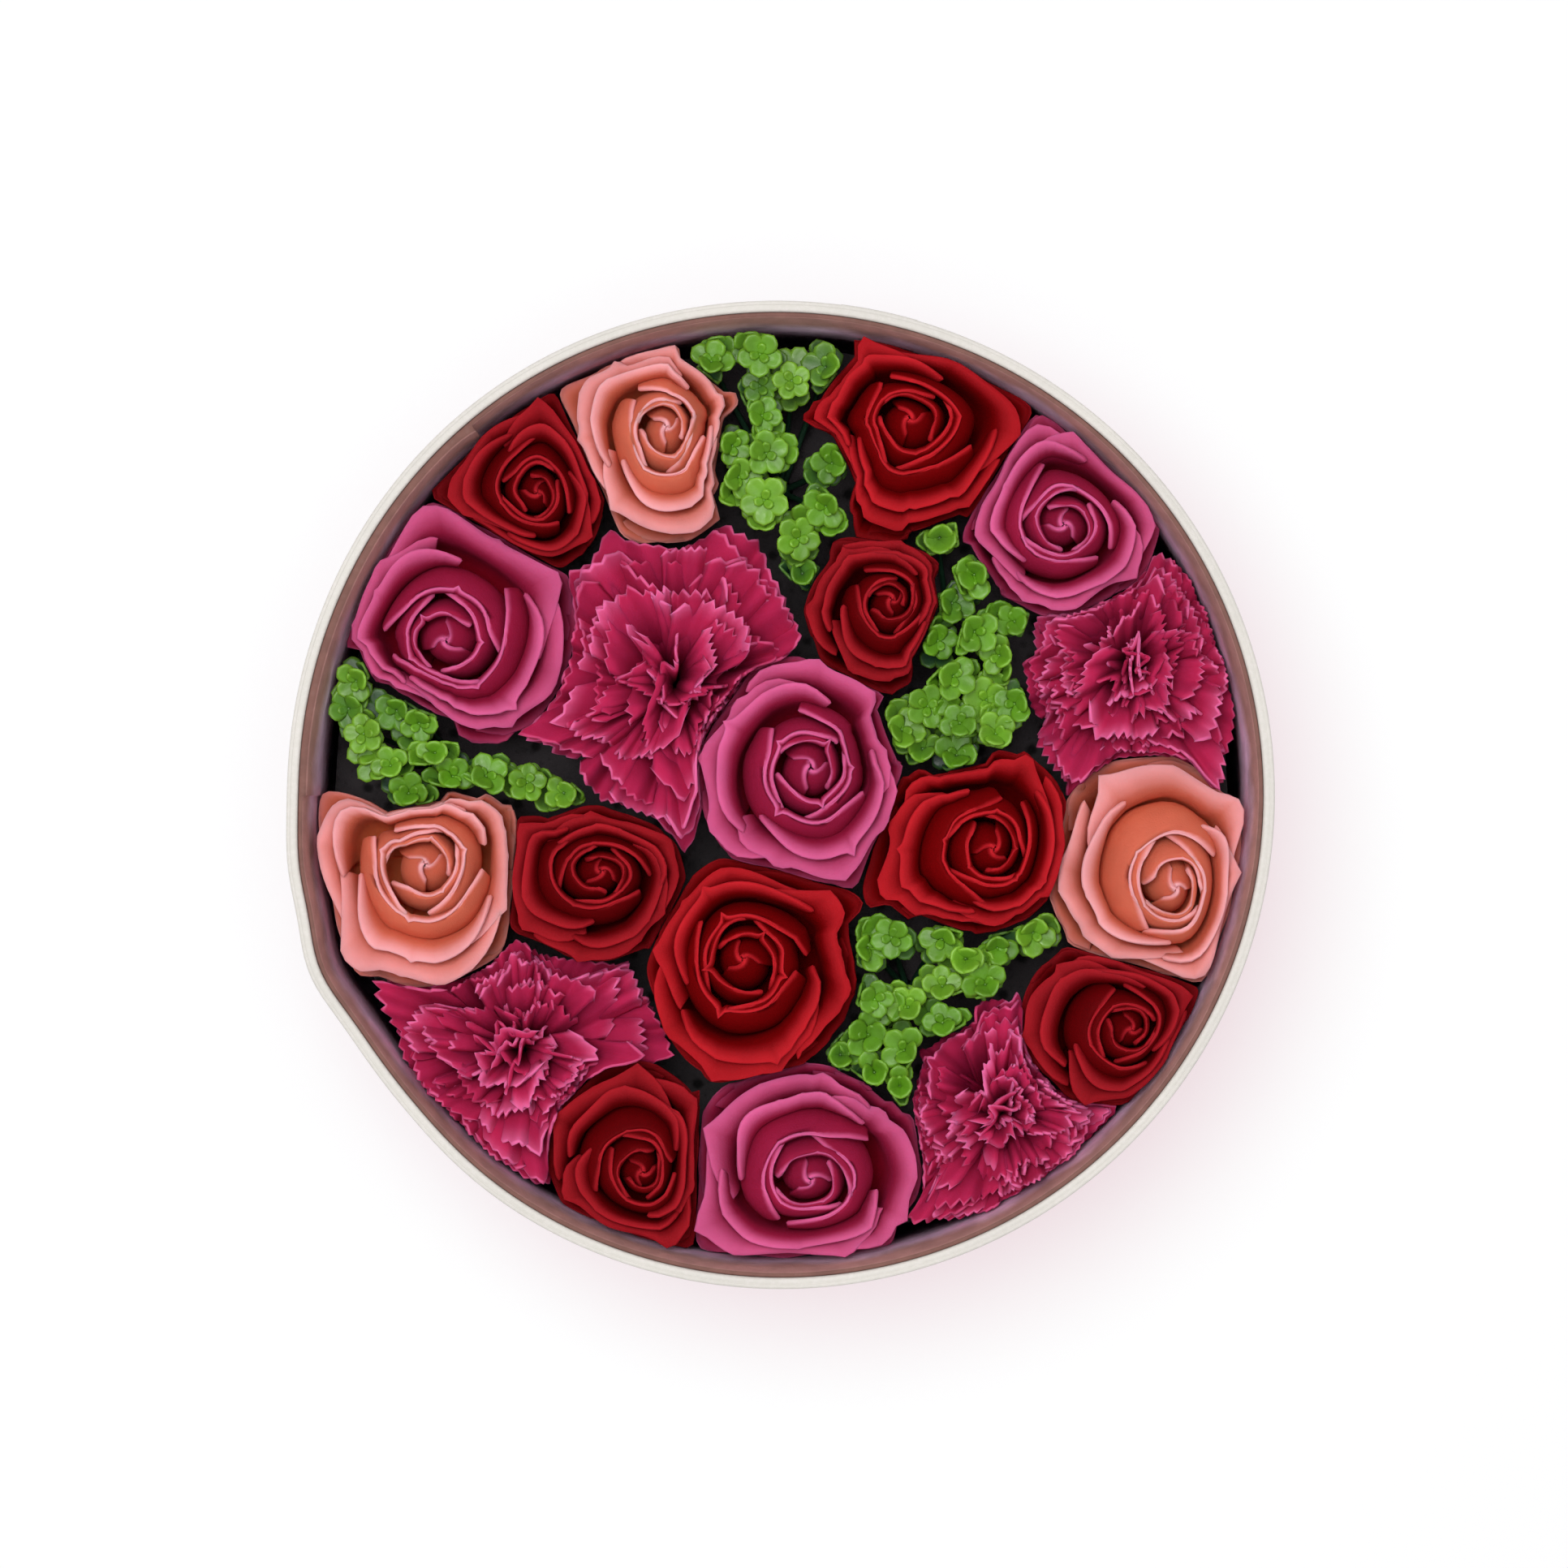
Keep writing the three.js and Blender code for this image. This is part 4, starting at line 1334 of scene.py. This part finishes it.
@dataclass
class Carnation:
    """Carnation of ruffled fan petals with pinked edges, set on a dome by the golden angle.

    Attributes:
        head: place and size of the carnation.
        draw: random draws for the differences between petals.
        count: number of petals.
        teeth: number of teeth along a petal's edge.
        tooth: depth of a tooth in millimetres.
        thickness: thickness of a petal in millimetres.
        usual: mean reach of the carnation for which the widths and ruffles are stated.
        rows: the rows of points along a petal, closer together at its edge.
    """

    head: Head
    draw: np.random.Generator
    count: int = 62
    teeth: int = 8
    tooth: float = 2.9
    thickness: float = 0.75
    usual: float = 32.0
    rows: tuple[float, ...] = (0, 0.22, 0.42, 0.6, 0.75, 0.87, 0.95, 0.985, 1.0)

    def shell(self) -> Shell:
        """All the petals.

        A petal's middle line is a cubic curve from the core to a point of the dome. Across it the
        petal widens as a fan that is turned and tilted to one side, folds in the middle, and
        waves along its normal more and more towards its edge, which is cut by a zigzag. Some of
        the random draws change two of these at once.

        Returns:
            The petals.
        """
        head = self.head
        size = head.radius / self.usual
        steps = 4 * self.teeth
        u = np.linspace(-1, 1, steps + 1)[None, None, :]
        v = np.array(self.rows)[None, :, None]
        number = np.arange(self.count)[:, None, None]
        draws = self.draw.uniform(-1, 1, (12, self.count, 1, 1))
        by_out, by_height, by_way, by_width, by_waves, by_depth = draws[:6]
        by_tone, by_tilt, by_yaw, by_phase, by_tip, by_tooth = draws[6:]
        level = (number + 0.5) / self.count
        low = 1 - level
        out = 1.44 * low**0.5 - 0.08 + (0.02 + 0.1 * level) * by_out
        height = 1 - 0.15 * out**2 - 0.1 * low + 0.07 * by_height
        way = number * GOLDEN_ANGLE + (0.08 + 0.85 * level) * by_way
        root = np.stack([0.12 * low, 0.2 + 0.3 * level], -1)
        knee = np.stack([0.24 * out, 0.5 + 0.26 * level], -1)
        crest = np.stack([0.7 * out, height - 0.06 * low + 0.07 * by_width], -1)
        tip = np.stack([out, height - 0.05 * low + 0.08 * by_tip], -1)
        notch = np.abs(np.arange(steps + 1) % 4 - 2)[None, None, :] / 2
        cut = self.tooth * (1 + 0.25 * by_tooth) / (head.radius * (0.35 + 0.75 * out)) * notch
        t = (v * (1 - 0.2 * np.abs(u) ** 2.4) - cut * v**12)[..., None]
        line, slope = cubic((root, knee, crest, tip), t)
        slope = unit(slope * [head.radius, head.kind.value])
        width = (8.4 + 5.6 * low) * (1 + 0.16 * by_width) * size * (0.18 + 0.82 * v**0.9)
        waves = 1.5 + 0.9 * np.abs(by_waves)
        turn = np.pi * waves * u + 3 * by_phase
        swell = np.sin(turn) + 0.25 * np.sin(2 * turn + 2 * by_yaw)
        swell = swell + 0.3 * np.sin(0.7 * turn + 4 * by_phase)
        ruffle = (2.8 + 1.2 * by_depth) * size * v**1.7 * swell + 3.6 * by_phase * np.abs(u) * v * size
        tilt = np.tan(np.radians(18 + 26 * level) * by_tilt)
        sideways = u * width
        r = line[..., 0] * head.radius + slope[..., 1] * ruffle
        h = line[..., 1] * head.kind.value - slope[..., 0] * ruffle + sideways * tilt * v
        h = np.clip(h, 2.0, head.kind.value * 1.01)
        yaw = way + np.radians(16 + 60 * level) * by_yaw
        dx = r * np.cos(way) - sideways * np.sin(yaw)
        dy = r * np.sin(way) + sideways * np.cos(yaw)
        middle = head.points(np.hypot(dx, dy), np.arctan2(dy, dx), h, WIDE)
        # Tone rises towards the edge and on the upper petals: painted shade low in the head and painted
        # highlight on the upper petals; the cut edge is paler, partly painted highlight where it catches the
        # light; by_tone differs at random
        cut_edge_highlight = v > 0.97
        tone = 0.08 + (0.5 + 0.16 * level**0.5) * v**1.6
        tone = tone + (0.08 + 0.2 * level) * by_tone * v + 0.16 * cut_edge_highlight
        return thickened(middle, self.thickness, np.clip(tone, 0, 1) * np.ones_like(u))


# Greenery


@dataclass
class Spray:
    """Leafy spray: rosettes of cupped round leaves on stalks that leave one peg in the foam.

    Attributes:
        name: name of its node.
        root: where the peg stands.
        rosettes: place and height of each rosette.
        leaves: number of large leaves in a rosette.
        reach: how far a rosette reaches, in millimetres.
        least: least distance that a neighbour leaves it.
        thickness: thickness of a leaf.
        places: place of each rosette, with its room.
    """

    name: str
    root: tuple[float, float]
    rosettes: tuple[tuple[float, float, float], ...]
    leaves: int = 5
    reach: float = 5.6
    least: float = 3.4
    thickness: float = 0.75
    places: list[Place] = field(init=False)

    def __post_init__(self) -> None:
        """Makes a place for each rosette."""
        self.places = [Place(x, y, top, (self.reach,) * 4, self.least, 0) for x, y, top in self.rosettes]

    @staticmethod
    def leaf(length: float, width: float, rise: float, cup: float) -> Array:
        """Middle surface of a leaf that points along X.

        It is a spoon: narrow at its root, then a round end whose half width is that of an
        ellipse.

        Args:
            length: length of the leaf, in millimetres.
            width: its greatest width.
            rise: how far its end rises.
            cup: how far its sides curl up.

        Returns:
            Points of the surface, shaped (rows, columns, 3).
        """
        s = np.linspace(0, 1, 7)
        a = 0.5 * s + 0.5 * (1 - (1 - s) ** 2)
        b = np.linspace(-1, 1, 7)
        wide = 0.52
        blunt = np.sqrt(np.maximum(1 - ((a - wide) / (1 - wide)) ** 2, 0.0))
        narrow = 0.3 + 0.7 * np.sin(np.pi / 2 * np.clip(a / wide, 0, 1))
        half = width / 2 * np.where(a > wide, np.maximum(blunt, 0.1), narrow)
        x = length * a[:, None] * (1 - 0.06 * b[None, :] ** 2 * (a[:, None] > 0.9))
        y = half[:, None] * b[None, :]
        z = rise * a[:, None] ** 2 + cup * (y / (width / 2)) ** 2 * a[:, None]
        return np.stack([np.broadcast_to(x, y.shape), y, z], -1)

    @staticmethod
    def whorl(leaf: Array, count: int, turn: float, tilt: Array, place: Place, root: Array) -> Array:
        """Leaves round a stalk, shaped (leaves, rows, columns, 3).

        A leaf that has no room to lie flat stands up instead: its run shrinks to the room that is
        left in its direction, and its rise grows as the other side of a right triangle does.

        Args:
            leaf: middle surface of one leaf.
            count: number of leaves.
            turn: angle of the first.
            tilt: slope of the whorl towards X and Y.
            place: the rosette that they belong to.
            root: where the leaves grow from.

        Returns:
            Middle surfaces of the leaves.
        """
        angle = turn + 2 * np.pi * np.arange(count)[:, None, None] / count
        c, s = np.cos(angle), np.sin(angle)
        length = leaf[..., 0].max()
        aside = root[:2] - [place.x, place.y]
        # Directions of each leaf's middle and of its two shoulders
        fan = angle + np.array([-0.45, 0.0, 0.45])[:, None, None, None]
        far, wide = length * np.cos(fan) + aside[0], length * np.sin(fan) + aside[1]
        distance = np.hypot(far, wide)
        room = place.room_at(far / distance, wide / distance, np.full_like(far, root[2]), SHARP)
        share = np.clip(((room - 0.5) / distance).min(0), 0.3, 1.0)
        x = leaf[None, ..., 0] * share * c - leaf[None, ..., 1] * s
        y = leaf[None, ..., 0] * share * s + leaf[None, ..., 1] * c
        rise = leaf[None, ..., 0] * np.sqrt(1 - share**2)
        height = root[2] + leaf[None, ..., 2] + 0.7 * rise + tilt[0] * x + tilt[1] * y
        return place.kept(root[0] + x, root[1] + y, height)

    def shell(self, draw: np.random.Generator) -> Shell:
        """The leaves and stalks.

        A rosette has large leaves on top, with small ones in its heart, and a whorl on either side
        lower down. Its stalk leaves the peg, and the stalks of the two whorls start beside it.

        Args:
            draw: random draws for the differences between rosettes.

        Returns:
            The spray.
        """
        full = self.leaf(length=5.7, width=5.0, rise=0.9, cup=1.3)
        heart = self.leaf(length=2.5, width=2.3, rise=1.7, cup=0.5)
        low = self.leaf(length=5.6, width=4.8, rise=0.4, cup=0.9)
        hearts, lows, unders = 3, 5, 4
        share = np.linspace(0, 1, 9)[:, None]
        blades, stalks = [], []

        def stalk(foot: Array, bend: Array, end: Array) -> None:
            """Adds a stalk: a curve from its foot to its end that is drawn towards a third point."""
            stalks.append((1 - share) ** 2 * foot + 2 * share * (1 - share) * bend + share**2 * end)

        for number, place in enumerate(self.places):
            turn = 0.9 * number
            size = draw.uniform(0.85, 1.12)
            tilt = draw.uniform(-0.3, 0.3, 2)
            way = draw.uniform(0, 2 * np.pi)
            aside = 3.6 * np.array([np.cos(way), np.sin(way), 0])
            top = np.array([place.x, place.y, place.top - 1.8])
            beside = top + aside - [0, 0, 4.2]
            under = top - 0.7 * aside - [0, 0, 8.0]
            blades.append(self.whorl(full * size, self.leaves, turn, tilt, place, top))
            blades.append(self.whorl(heart, hearts, turn + 0.4, tilt, place, top + [0, 0, 0.2]))
            blades.append(self.whorl(low, lows, turn + 0.5, tilt * 0.5, place, beside))
            blades.append(self.whorl(low, unders, turn + 1.1, -tilt, place, under))
            foot = np.array([*self.root, BRANCH_HEIGHT - 1.0])
            bend = np.array([place.x, place.y, BRANCH_HEIGHT + 6.0])
            stalk(foot, bend, top + [0, 0, 0.4])
            stalk(top - [0, 0, 13.0], top + [0, 0, -9.0] + aside, beside)
            stalk(top - [0, 0, 15.0], top + [0, 0, -12.0] - aside, under)
        middle = np.concatenate(blades)
        rows, columns = middle.shape[1:3]
        side, end = np.abs(np.linspace(-1, 1, columns)), np.linspace(0, 1, rows)
        rim = np.maximum(side[None, :] ** 3, end[:, None] ** 4)
        each = self.leaves + hearts + lows + unders
        fresh = np.repeat(draw.uniform(0, 0.5, len(self.places)), each)[:, None, None]
        peg = np.array([[*self.root, z] for z in np.linspace(PEG_FOOT, BRANCH_HEIGHT + 1, 6)])[None]
        return Shell.joined([
            thickened(middle, self.thickness, 0.4 * rim[None] + fresh * np.ones_like(rim)),
            tubes(np.array(stalks), start=0.85, end=0.6, tone=0.1),
            tubes(peg, start=2.2, end=2.2, tone=0.0),
        ])


# Box


@dataclass
class Box:
    """Wrapped board drum with its liner.

    Attributes:
        bumps: where the rim is out of round: angle, spread in degrees and depth in millimetres of a
            wide bulge, a shoulder, a pushed-out corner and a flatter stretch.
        seam: angle of the lapped end of the wrap paper, and how far it laps, in degrees.
        paper: thickness of the wrap paper in millimetres.
    """

    bumps: tuple[tuple[float, float, float], ...] = (
        (128.0, 30.0, 1.1), (189.0, 6.0, 1.1), (200.5, 6.0, 2.5), (220.0, 10.0, -0.8),
    )
    seam: tuple[float, float] = (74.0, 9.0)
    paper: float = 0.25

    def radius(self, degrees: Array) -> Array:
        """Outer radius of the wall: a circle with bumps, each a bell curve.

        Args:
            degrees: angles round the box.

        Returns:
            The radii.
        """
        return BOX_RADIUS + sum(
            depth * np.exp(-(((degrees - at) / spread) ** 2)) for at, spread, depth in self.bumps
        )

    @staticmethod
    def angles(count: int, edges: Sequence[float]) -> Array:
        """Even angles round the box, in degrees, with those of the edges among them."""
        return np.unique(np.concatenate([np.linspace(0, 360, count, endpoint=False), edges]))

    def turned(self, degrees: Array, inset: Array, z: Array, tone: Array) -> Shell:
        """A closed ring whose section is a closed loop.

        Args:
            degrees: angles round the box, rising.
            inset: distance of each point of the section from the outside of the wall, shaped
                (angles, points).
            z: height of each of them.
            tone: tone of each point of the section.

        Returns:
            The ring.
        """
        angle = np.radians(degrees)[:, None]
        r = self.radius(degrees)[:, None] - inset
        points = np.stack([r * np.cos(angle), r * np.sin(angle), np.broadcast_to(z, r.shape)], -1)
        rows, columns = r.shape
        numbers = np.arange(rows * columns).reshape(rows, columns)
        wrapped = np.concatenate([numbers, numbers[:1]])
        wrapped = np.concatenate([wrapped, wrapped[:, :1]], 1)
        place = even_place(rows, columns).reshape(-1, 2)
        shade = np.broadcast_to(tone, r.shape).ravel()
        return Shell(points.reshape(-1, 3), grid_faces(wrapped)[:, ::-1], place, shade)

    def wall(self) -> Shell:
        """Board wall: its paper is turned over the rim and ends in a small step there.

        The section is given by inset and height, up the outside, over the rim and down the
        inside. Where the paper laps, the surface stands out by half its thickness.

        Returns:
            The wall.
        """
        start, lap = self.seam
        ramp = 0.06
        degrees = self.angles(288, [start, start + ramp, start + lap, start + lap + ramp])
        lapped = (degrees >= start + ramp) & (degrees <= start + lap)
        skin = np.where(lapped, 0.0, self.paper)[:, None]
        section = np.array([
            (0.5, 0.0), (0.1, 0.15), (0.0, 0.6), (0.0, 2.0), (0.0, 50.0), (0.0, 98.6), (0.02, 99.4),
            (0.14, 99.78), (0.4, 99.97), (0.72, 99.97), (1.04, 99.94), (1.14, 99.84), (1.2, 99.82),
            (1.3, 99.86), (1.62, 99.92), (2.2, 99.92), (2.56, 99.76), (2.74, 99.4), (2.8, 98.8), (2.8, 50.0),
            (2.8, 2.0), (2.8, 0.4), (2.6, 0.05), (2.2, 0.0),
        ])
        outer = section[:, 0] < 0.9
        soft = 0.35 * np.sin(np.radians(degrees * 7)) * np.sin(np.radians(degrees * 3 + 40))
        rim = np.clip((section[:, 1] - 97) / 3, 0, 1)
        inset = section[None, :, 0] + skin * outer[None, :] * 0.5
        z = section[None, :, 1] + 0.12 * (soft[:, None] - 0.35) * rim[None, :]
        step = (section[:, 0] > 0.9) & (section[:, 0] < 1.3) & (section[:, 1] > 90)
        tone = np.where(section[:, 0] > 2.75, 1.0, 0.25 * step)
        return self.turned(degrees, inset, z, tone)

    def liner(self) -> Shell:
        """Liner strip: bowed inwards, with an uneven top.

        It is twice as thick where its ends lap, and more at the one that curls away. The section
        is given by share of the thickness, height below the top, and bow.

        Returns:
            The liner.
        """
        start, end = LINER_LAP
        ramp = 0.08
        degrees = self.angles(240, [start - ramp, start, start + 0.5, end, end + ramp])
        curl = np.exp(-np.abs(degrees - start) / 1.5)
        thick = np.where((degrees >= start) & (degrees <= end), 2.0 + curl, 1.0)[:, None] * LINER_THICKNESS
        share, below, bow = np.array([
            (0, -96.5, 0), (0, -41, 0), (0, -28, 1.4), (0, -15, 1.6), (0, -8, 1.2), (0, -3.5, 0.4),
            (0, -1.2, 0), (0, -0.3, -0.24), (0.15, 0, -0.24), (0.85, 0, 0), (1, -0.3, 0.05), (1, -0.7, 0.15),
            (1, -3, 0.7), (1, -8, 1.4), (1, -15, 1.8), (1, -28, 1.5), (1, -41, 0), (1, -96.5, 0),
        ]).T
        cut = (below > -0.5) & (share < 1)
        uneven = 0.15 * np.sin(np.radians(degrees * 5)) - 0.15
        inset = WALL + GAP + share * thick + bow
        z = LINER_TOP + below + uneven[:, None] * (below > -1)
        return self.turned(degrees, inset, z, 1.0 * cut)


# Studio


@dataclass
class Studio:
    """Floor, light and the camera straight above the box.

    Attributes:
        image: side of the image in pixels.
        centre: pixel of the image on which the box's middle lies.
        scale: millimetres of the rim's plane for each pixel.
        distance: height of the camera above the rim in millimetres.
    """

    image: float = 1932.0
    centre: tuple[float, float] = (962.5, 980.0)
    scale: float = 0.19
    distance: float = 1050.0

    def camera(self) -> None:
        """Camera that sees the rim's plane at the stated scale."""
        view = bpy.data.cameras.new("overhead")
        view.sensor_width = 36.0
        view.lens = view.sensor_width * self.distance / (self.image * self.scale)
        view.clip_end = 20.0
        camera = placed("overhead", view)
        middle = self.image / 2
        x = (middle - self.centre[0]) * self.scale
        y = (self.centre[1] - middle) * self.scale
        camera.location = (x * MM, y * MM, (BOX_HEIGHT + self.distance) * MM)
        bpy.context.scene.camera = camera

    @staticmethod
    def lamp(name: str, place: tuple[float, float, float], size: float, power: float, colour: Colour) -> None:
        """A round lamp that points at the box.

        Args:
            name: its name.
            place: where it hangs, in metres.
            size: its diameter in metres.
            power: its power in watts.
            colour: colour of its light.
        """
        light = bpy.data.lights.new(name, "AREA")
        light.shape = "DISK"
        light.size = size
        light.energy = power
        light.color = colour
        lamp = placed(name, light)
        lamp.location = place
        ahead = -lamp.location.normalized()
        lamp.rotation_euler = ahead.to_track_quat("-Z", "Y").to_euler()

    def light(self) -> None:
        """Soft key from the left, wide light from above and a pale sky."""
        self.lamp("key", place=(-0.32, 0.3, 2.1), size=1.0, power=22.0, colour=(1.0, 0.985, 0.97))
        self.lamp("overhead_fill", place=(0.0, 0.0, 2.4), size=2.4, power=15.0, colour=(1.0, 0.99, 0.99))
        world = bpy.data.worlds.new("pale_sky")
        world.use_nodes = True
        sky = world.node_tree.nodes["Background"].inputs
        sky["Color"].default_value = (1.0, 0.985, 0.99, 1.0)
        sky["Strength"].default_value = 0.46
        bpy.context.scene.world = world
        bpy.context.scene.view_settings.view_transform = "Standard"

    def floor(self, effects: Effects) -> None:
        """Wide pale floor that the box stands on.

        Args:
            effects: the shared node groups.
        """
        mesh = bpy.data.meshes.new("floor")
        half, low = 4.0, -0.0004
        corners = [(-half, -half, low), (half, -half, low), (half, half, low), (-half, half, low)]
        mesh.from_pydata(corners, [], [(0, 1, 2, 3)])
        # near is the dimmer, pinker glow that paints the box's shadow on the floor
        finish = FloorFinish(
            "pale_floor", face=(0.27, 0.48, 0.45), near=(0.675, 0.425, 0.48), glow=(0.705, 0.487, 0.527),
        )
        mesh.materials.append(finish.material(effects))
        floor = placed("floor", mesh)


# Arrangement

ROSE, SMALL, FRILLED = Kind.ROSE, Kind.SMALL_ROSE, Kind.CARNATION
SALMON, MAUVE, RED = Finish.SALMON_PETAL, Finish.MAUVE_PETAL, Finish.RED_PETAL
DARK_RED, MAGENTA = Finish.DARK_RED_PETAL, Finish.MAGENTA_PETAL


@dataclass
class Arrangement:
    """The heads and sprays that fill the box."""

    heads: list[Head] = field(default_factory=lambda: [
        Head("rose_salmon_1", ROSE, SALMON, (19.5, 20.5, 22, 25.5), (1.5, 1), 40, 240, 1, 0.1),
        Head("rose_salmon_2", ROSE, SALMON, (24.5, 21, 27, 26.5), (5, -4), 84, 135, -1, 0),
        Head("rose_salmon_3", ROSE, SALMON, (27, 24.5, 28, 26.5), (0.5, 2), 10, 250, 1, 0.6, 0.4),
        Head("rose_mauve_1", ROSE, MAUVE, (29, 27, 28, 28), (-2.5, -4), 62, 300, 1, 0.6, 0.7),
        Head("rose_mauve_2", ROSE, MAUVE, (23, 24, 23, 21), (1.5, -1), 42, 215, -1, 0.5),
        Head("rose_mauve_3", ROSE, MAUVE, (24, 24.5, 26.5, 26.5), (2, 1), 50, 230, 1, 0.6, 1.0),
        Head("rose_mauve_4", ROSE, MAUVE, (27, 27, 23, 24.5), (1, -4), 5, 130, -1, 0.2),
        Head("rose_red_1", ROSE, RED, (23, 28.5, 21.5, 27), (1, 2), 30, 230, 1, 0.6),
        Head("rose_red_2", ROSE, RED, (24, 22, 24, 26), (4, -2), 84, 170, 1, 0.3, 0.5),
        Head("rose_red_3", ROSE, RED, (24, 25.5, 26, 26.5), (-2, 3), 15, 250, -1, 0.8, 1.0),
        Head("rose_small_1", SMALL, DARK_RED, (19.5, 16, 21, 20), (1.5, -1), 50, 200, -1, 0.6),
        Head("rose_small_2", SMALL, DARK_RED, (17.5, 19, 17, 19), (2.5, 2.5), 33, 250, 1, 0.4),
        Head("rose_small_3", SMALL, DARK_RED, (23.5, 21.5, 18, 17.5), (2.5, 3.5), 58, 235, -1, 0.7),
        Head("rose_small_4", SMALL, DARK_RED, (20, 17, 21, 21), (2, -3.5), 6, 110, 1, 0.3),
        Head("rose_small_5", SMALL, DARK_RED, (20, 18.5, 20, 19), (5, -1), 45, 210, 1, 0.5),
        Head("carnation_1", FRILLED, MAGENTA, (33.5, 39, 39, 40), (1, -1), 0, 0, 1, 0),
        Head("carnation_2", FRILLED, MAGENTA, (29.5, 29.5, 29, 31), (0, 0), 25, 0, 1, 0),
        Head("carnation_3", FRILLED, MAGENTA, (33, 35, 27, 36), (0, -2), 50, 0, 1, 0),
        Head("carnation_4", FRILLED, MAGENTA, (32, 27, 36, 28.5), (0, 3), 75, 0, 1, 0),
    ])
    sprays: list[Spray] = field(default_factory=lambda: [
        Spray("green_spray_1", (0, 74), (
            (-16.5, 102.5, 92), (-5, 104, 94), (2.5, 98, 91), (-5, 97, 89), (-4.5, 89.5, 95),
            (-11.5, 82.5, 92), (-3.5, 80.5, 96), (-10, 75, 94), (-4, 69.5, 95), (12, 78.5, 91),
            (10.5, 68, 96), (4, 60.5, 94), (5, 52.5, 88), (10.5, 101.5, 88),
        )),
        Spray("green_spray_2", (43, 27), (
            (45.5, 52, 95), (40.5, 45.5, 89), (45.5, 38.5, 96), (37, 36.5, 92), (55, 41, 94),
            (40.5, 28, 96), (51.5, 33, 93), (34.5, 21, 95), (42, 17, 97), (48.5, 22.5, 92),
            (55, 21.5, 95), (28.5, 15.5, 92), (50.5, 14.5, 95), (33.5, 11, 89), (41.5, 9.5, 91),
            (37.5, 61, 89),
        )),
        Spray("green_spray_3", (-78, 7), (
            (-100.5, 27, 91), (-102.5, 20.5, 89), (-98.5, 14.5, 94), (-91, 20, 90), (-85.5, 17, 92),
            (-92, 7, 95), (-81.5, 10, 96), (-88, 0.5, 92), (-77.5, 4.5, 93), (-69.5, 4.5, 95),
            (-60, 3, 92), (-51.5, 0.5, 89),
        )),
        Spray("green_spray_4", (31, -48), (
            (20.5, -36, 92), (26, -33.5, 95), (38, -34, 92), (43.5, -38.5, 95), (51, -36, 92),
            (48, -44.5, 96), (38, -45, 94), (22, -48, 96), (30, -50, 93), (38, -53.5, 96),
            (20.5, -56.5, 92), (29, -60, 96), (22, -65.5, 92), (28, -68.5, 94), (14, -61.5, 89),
            (59.5, -32.5, 91),
        )),
    ])

    def settle(self) -> None:
        """Shares the room in the box among the heads and rosettes."""
        heads = [head.place for head in self.heads]
        rosettes = [place for spray in self.sprays for place in spray.places]
        for place in heads + rosettes:
            place.settle(heads, rosettes)

    def dress(self, materials: dict[Finish, Look]) -> None:
        """Puts the petals and leaves into the scene, and paints the stems.

        Args:
            materials: material of each finish.
        """
        for number, head in enumerate(self.heads):
            shell = head.shell(np.random.default_rng(100 + number))
            Dresser.piece(f"{head.name}_petals", shell, materials[head.finish], head.finish.slot, head.name)
            Dresser.repaint(f"stem_{head.name}", materials[Finish.MOULDED_STEM])
        leaf = Finish.LEAF_PLASTIC
        for number, spray in enumerate(self.sprays):
            shell = spray.shell(np.random.default_rng(200 + number))
            Dresser.piece(f"{spray.name}_leaves", shell, materials[leaf], leaf.slot, spray.name)


def main() -> None:
    """Builds the studio, the box and the arrangement."""
    logging.basicConfig(level=logging.INFO, format="%(name)s %(message)s")
    studio = Studio()
    studio.camera()
    effects = Effects()
    materials = {finish: finish.value.material(effects) for finish in Finish}
    studio.light()
    studio.floor(effects)
    box = Box()
    board, paper = Finish.WRAPPED_BOARD, Finish.LINER_PAPER
    Dresser.piece("wrapped_wall", box.wall(), materials[board], board.slot, "box_wall")
    Dresser.piece("lapped_liner", box.liner(), materials[paper], paper.slot, "inner_liner")
    Dresser.repaint("box_base", materials[board])
    Dresser.repaint("floral_foam", materials[Finish.FLORAL_FOAM])
    arrangement = Arrangement()
    arrangement.settle()
    arrangement.dress(materials)


if __name__ == "__main__":
    main()
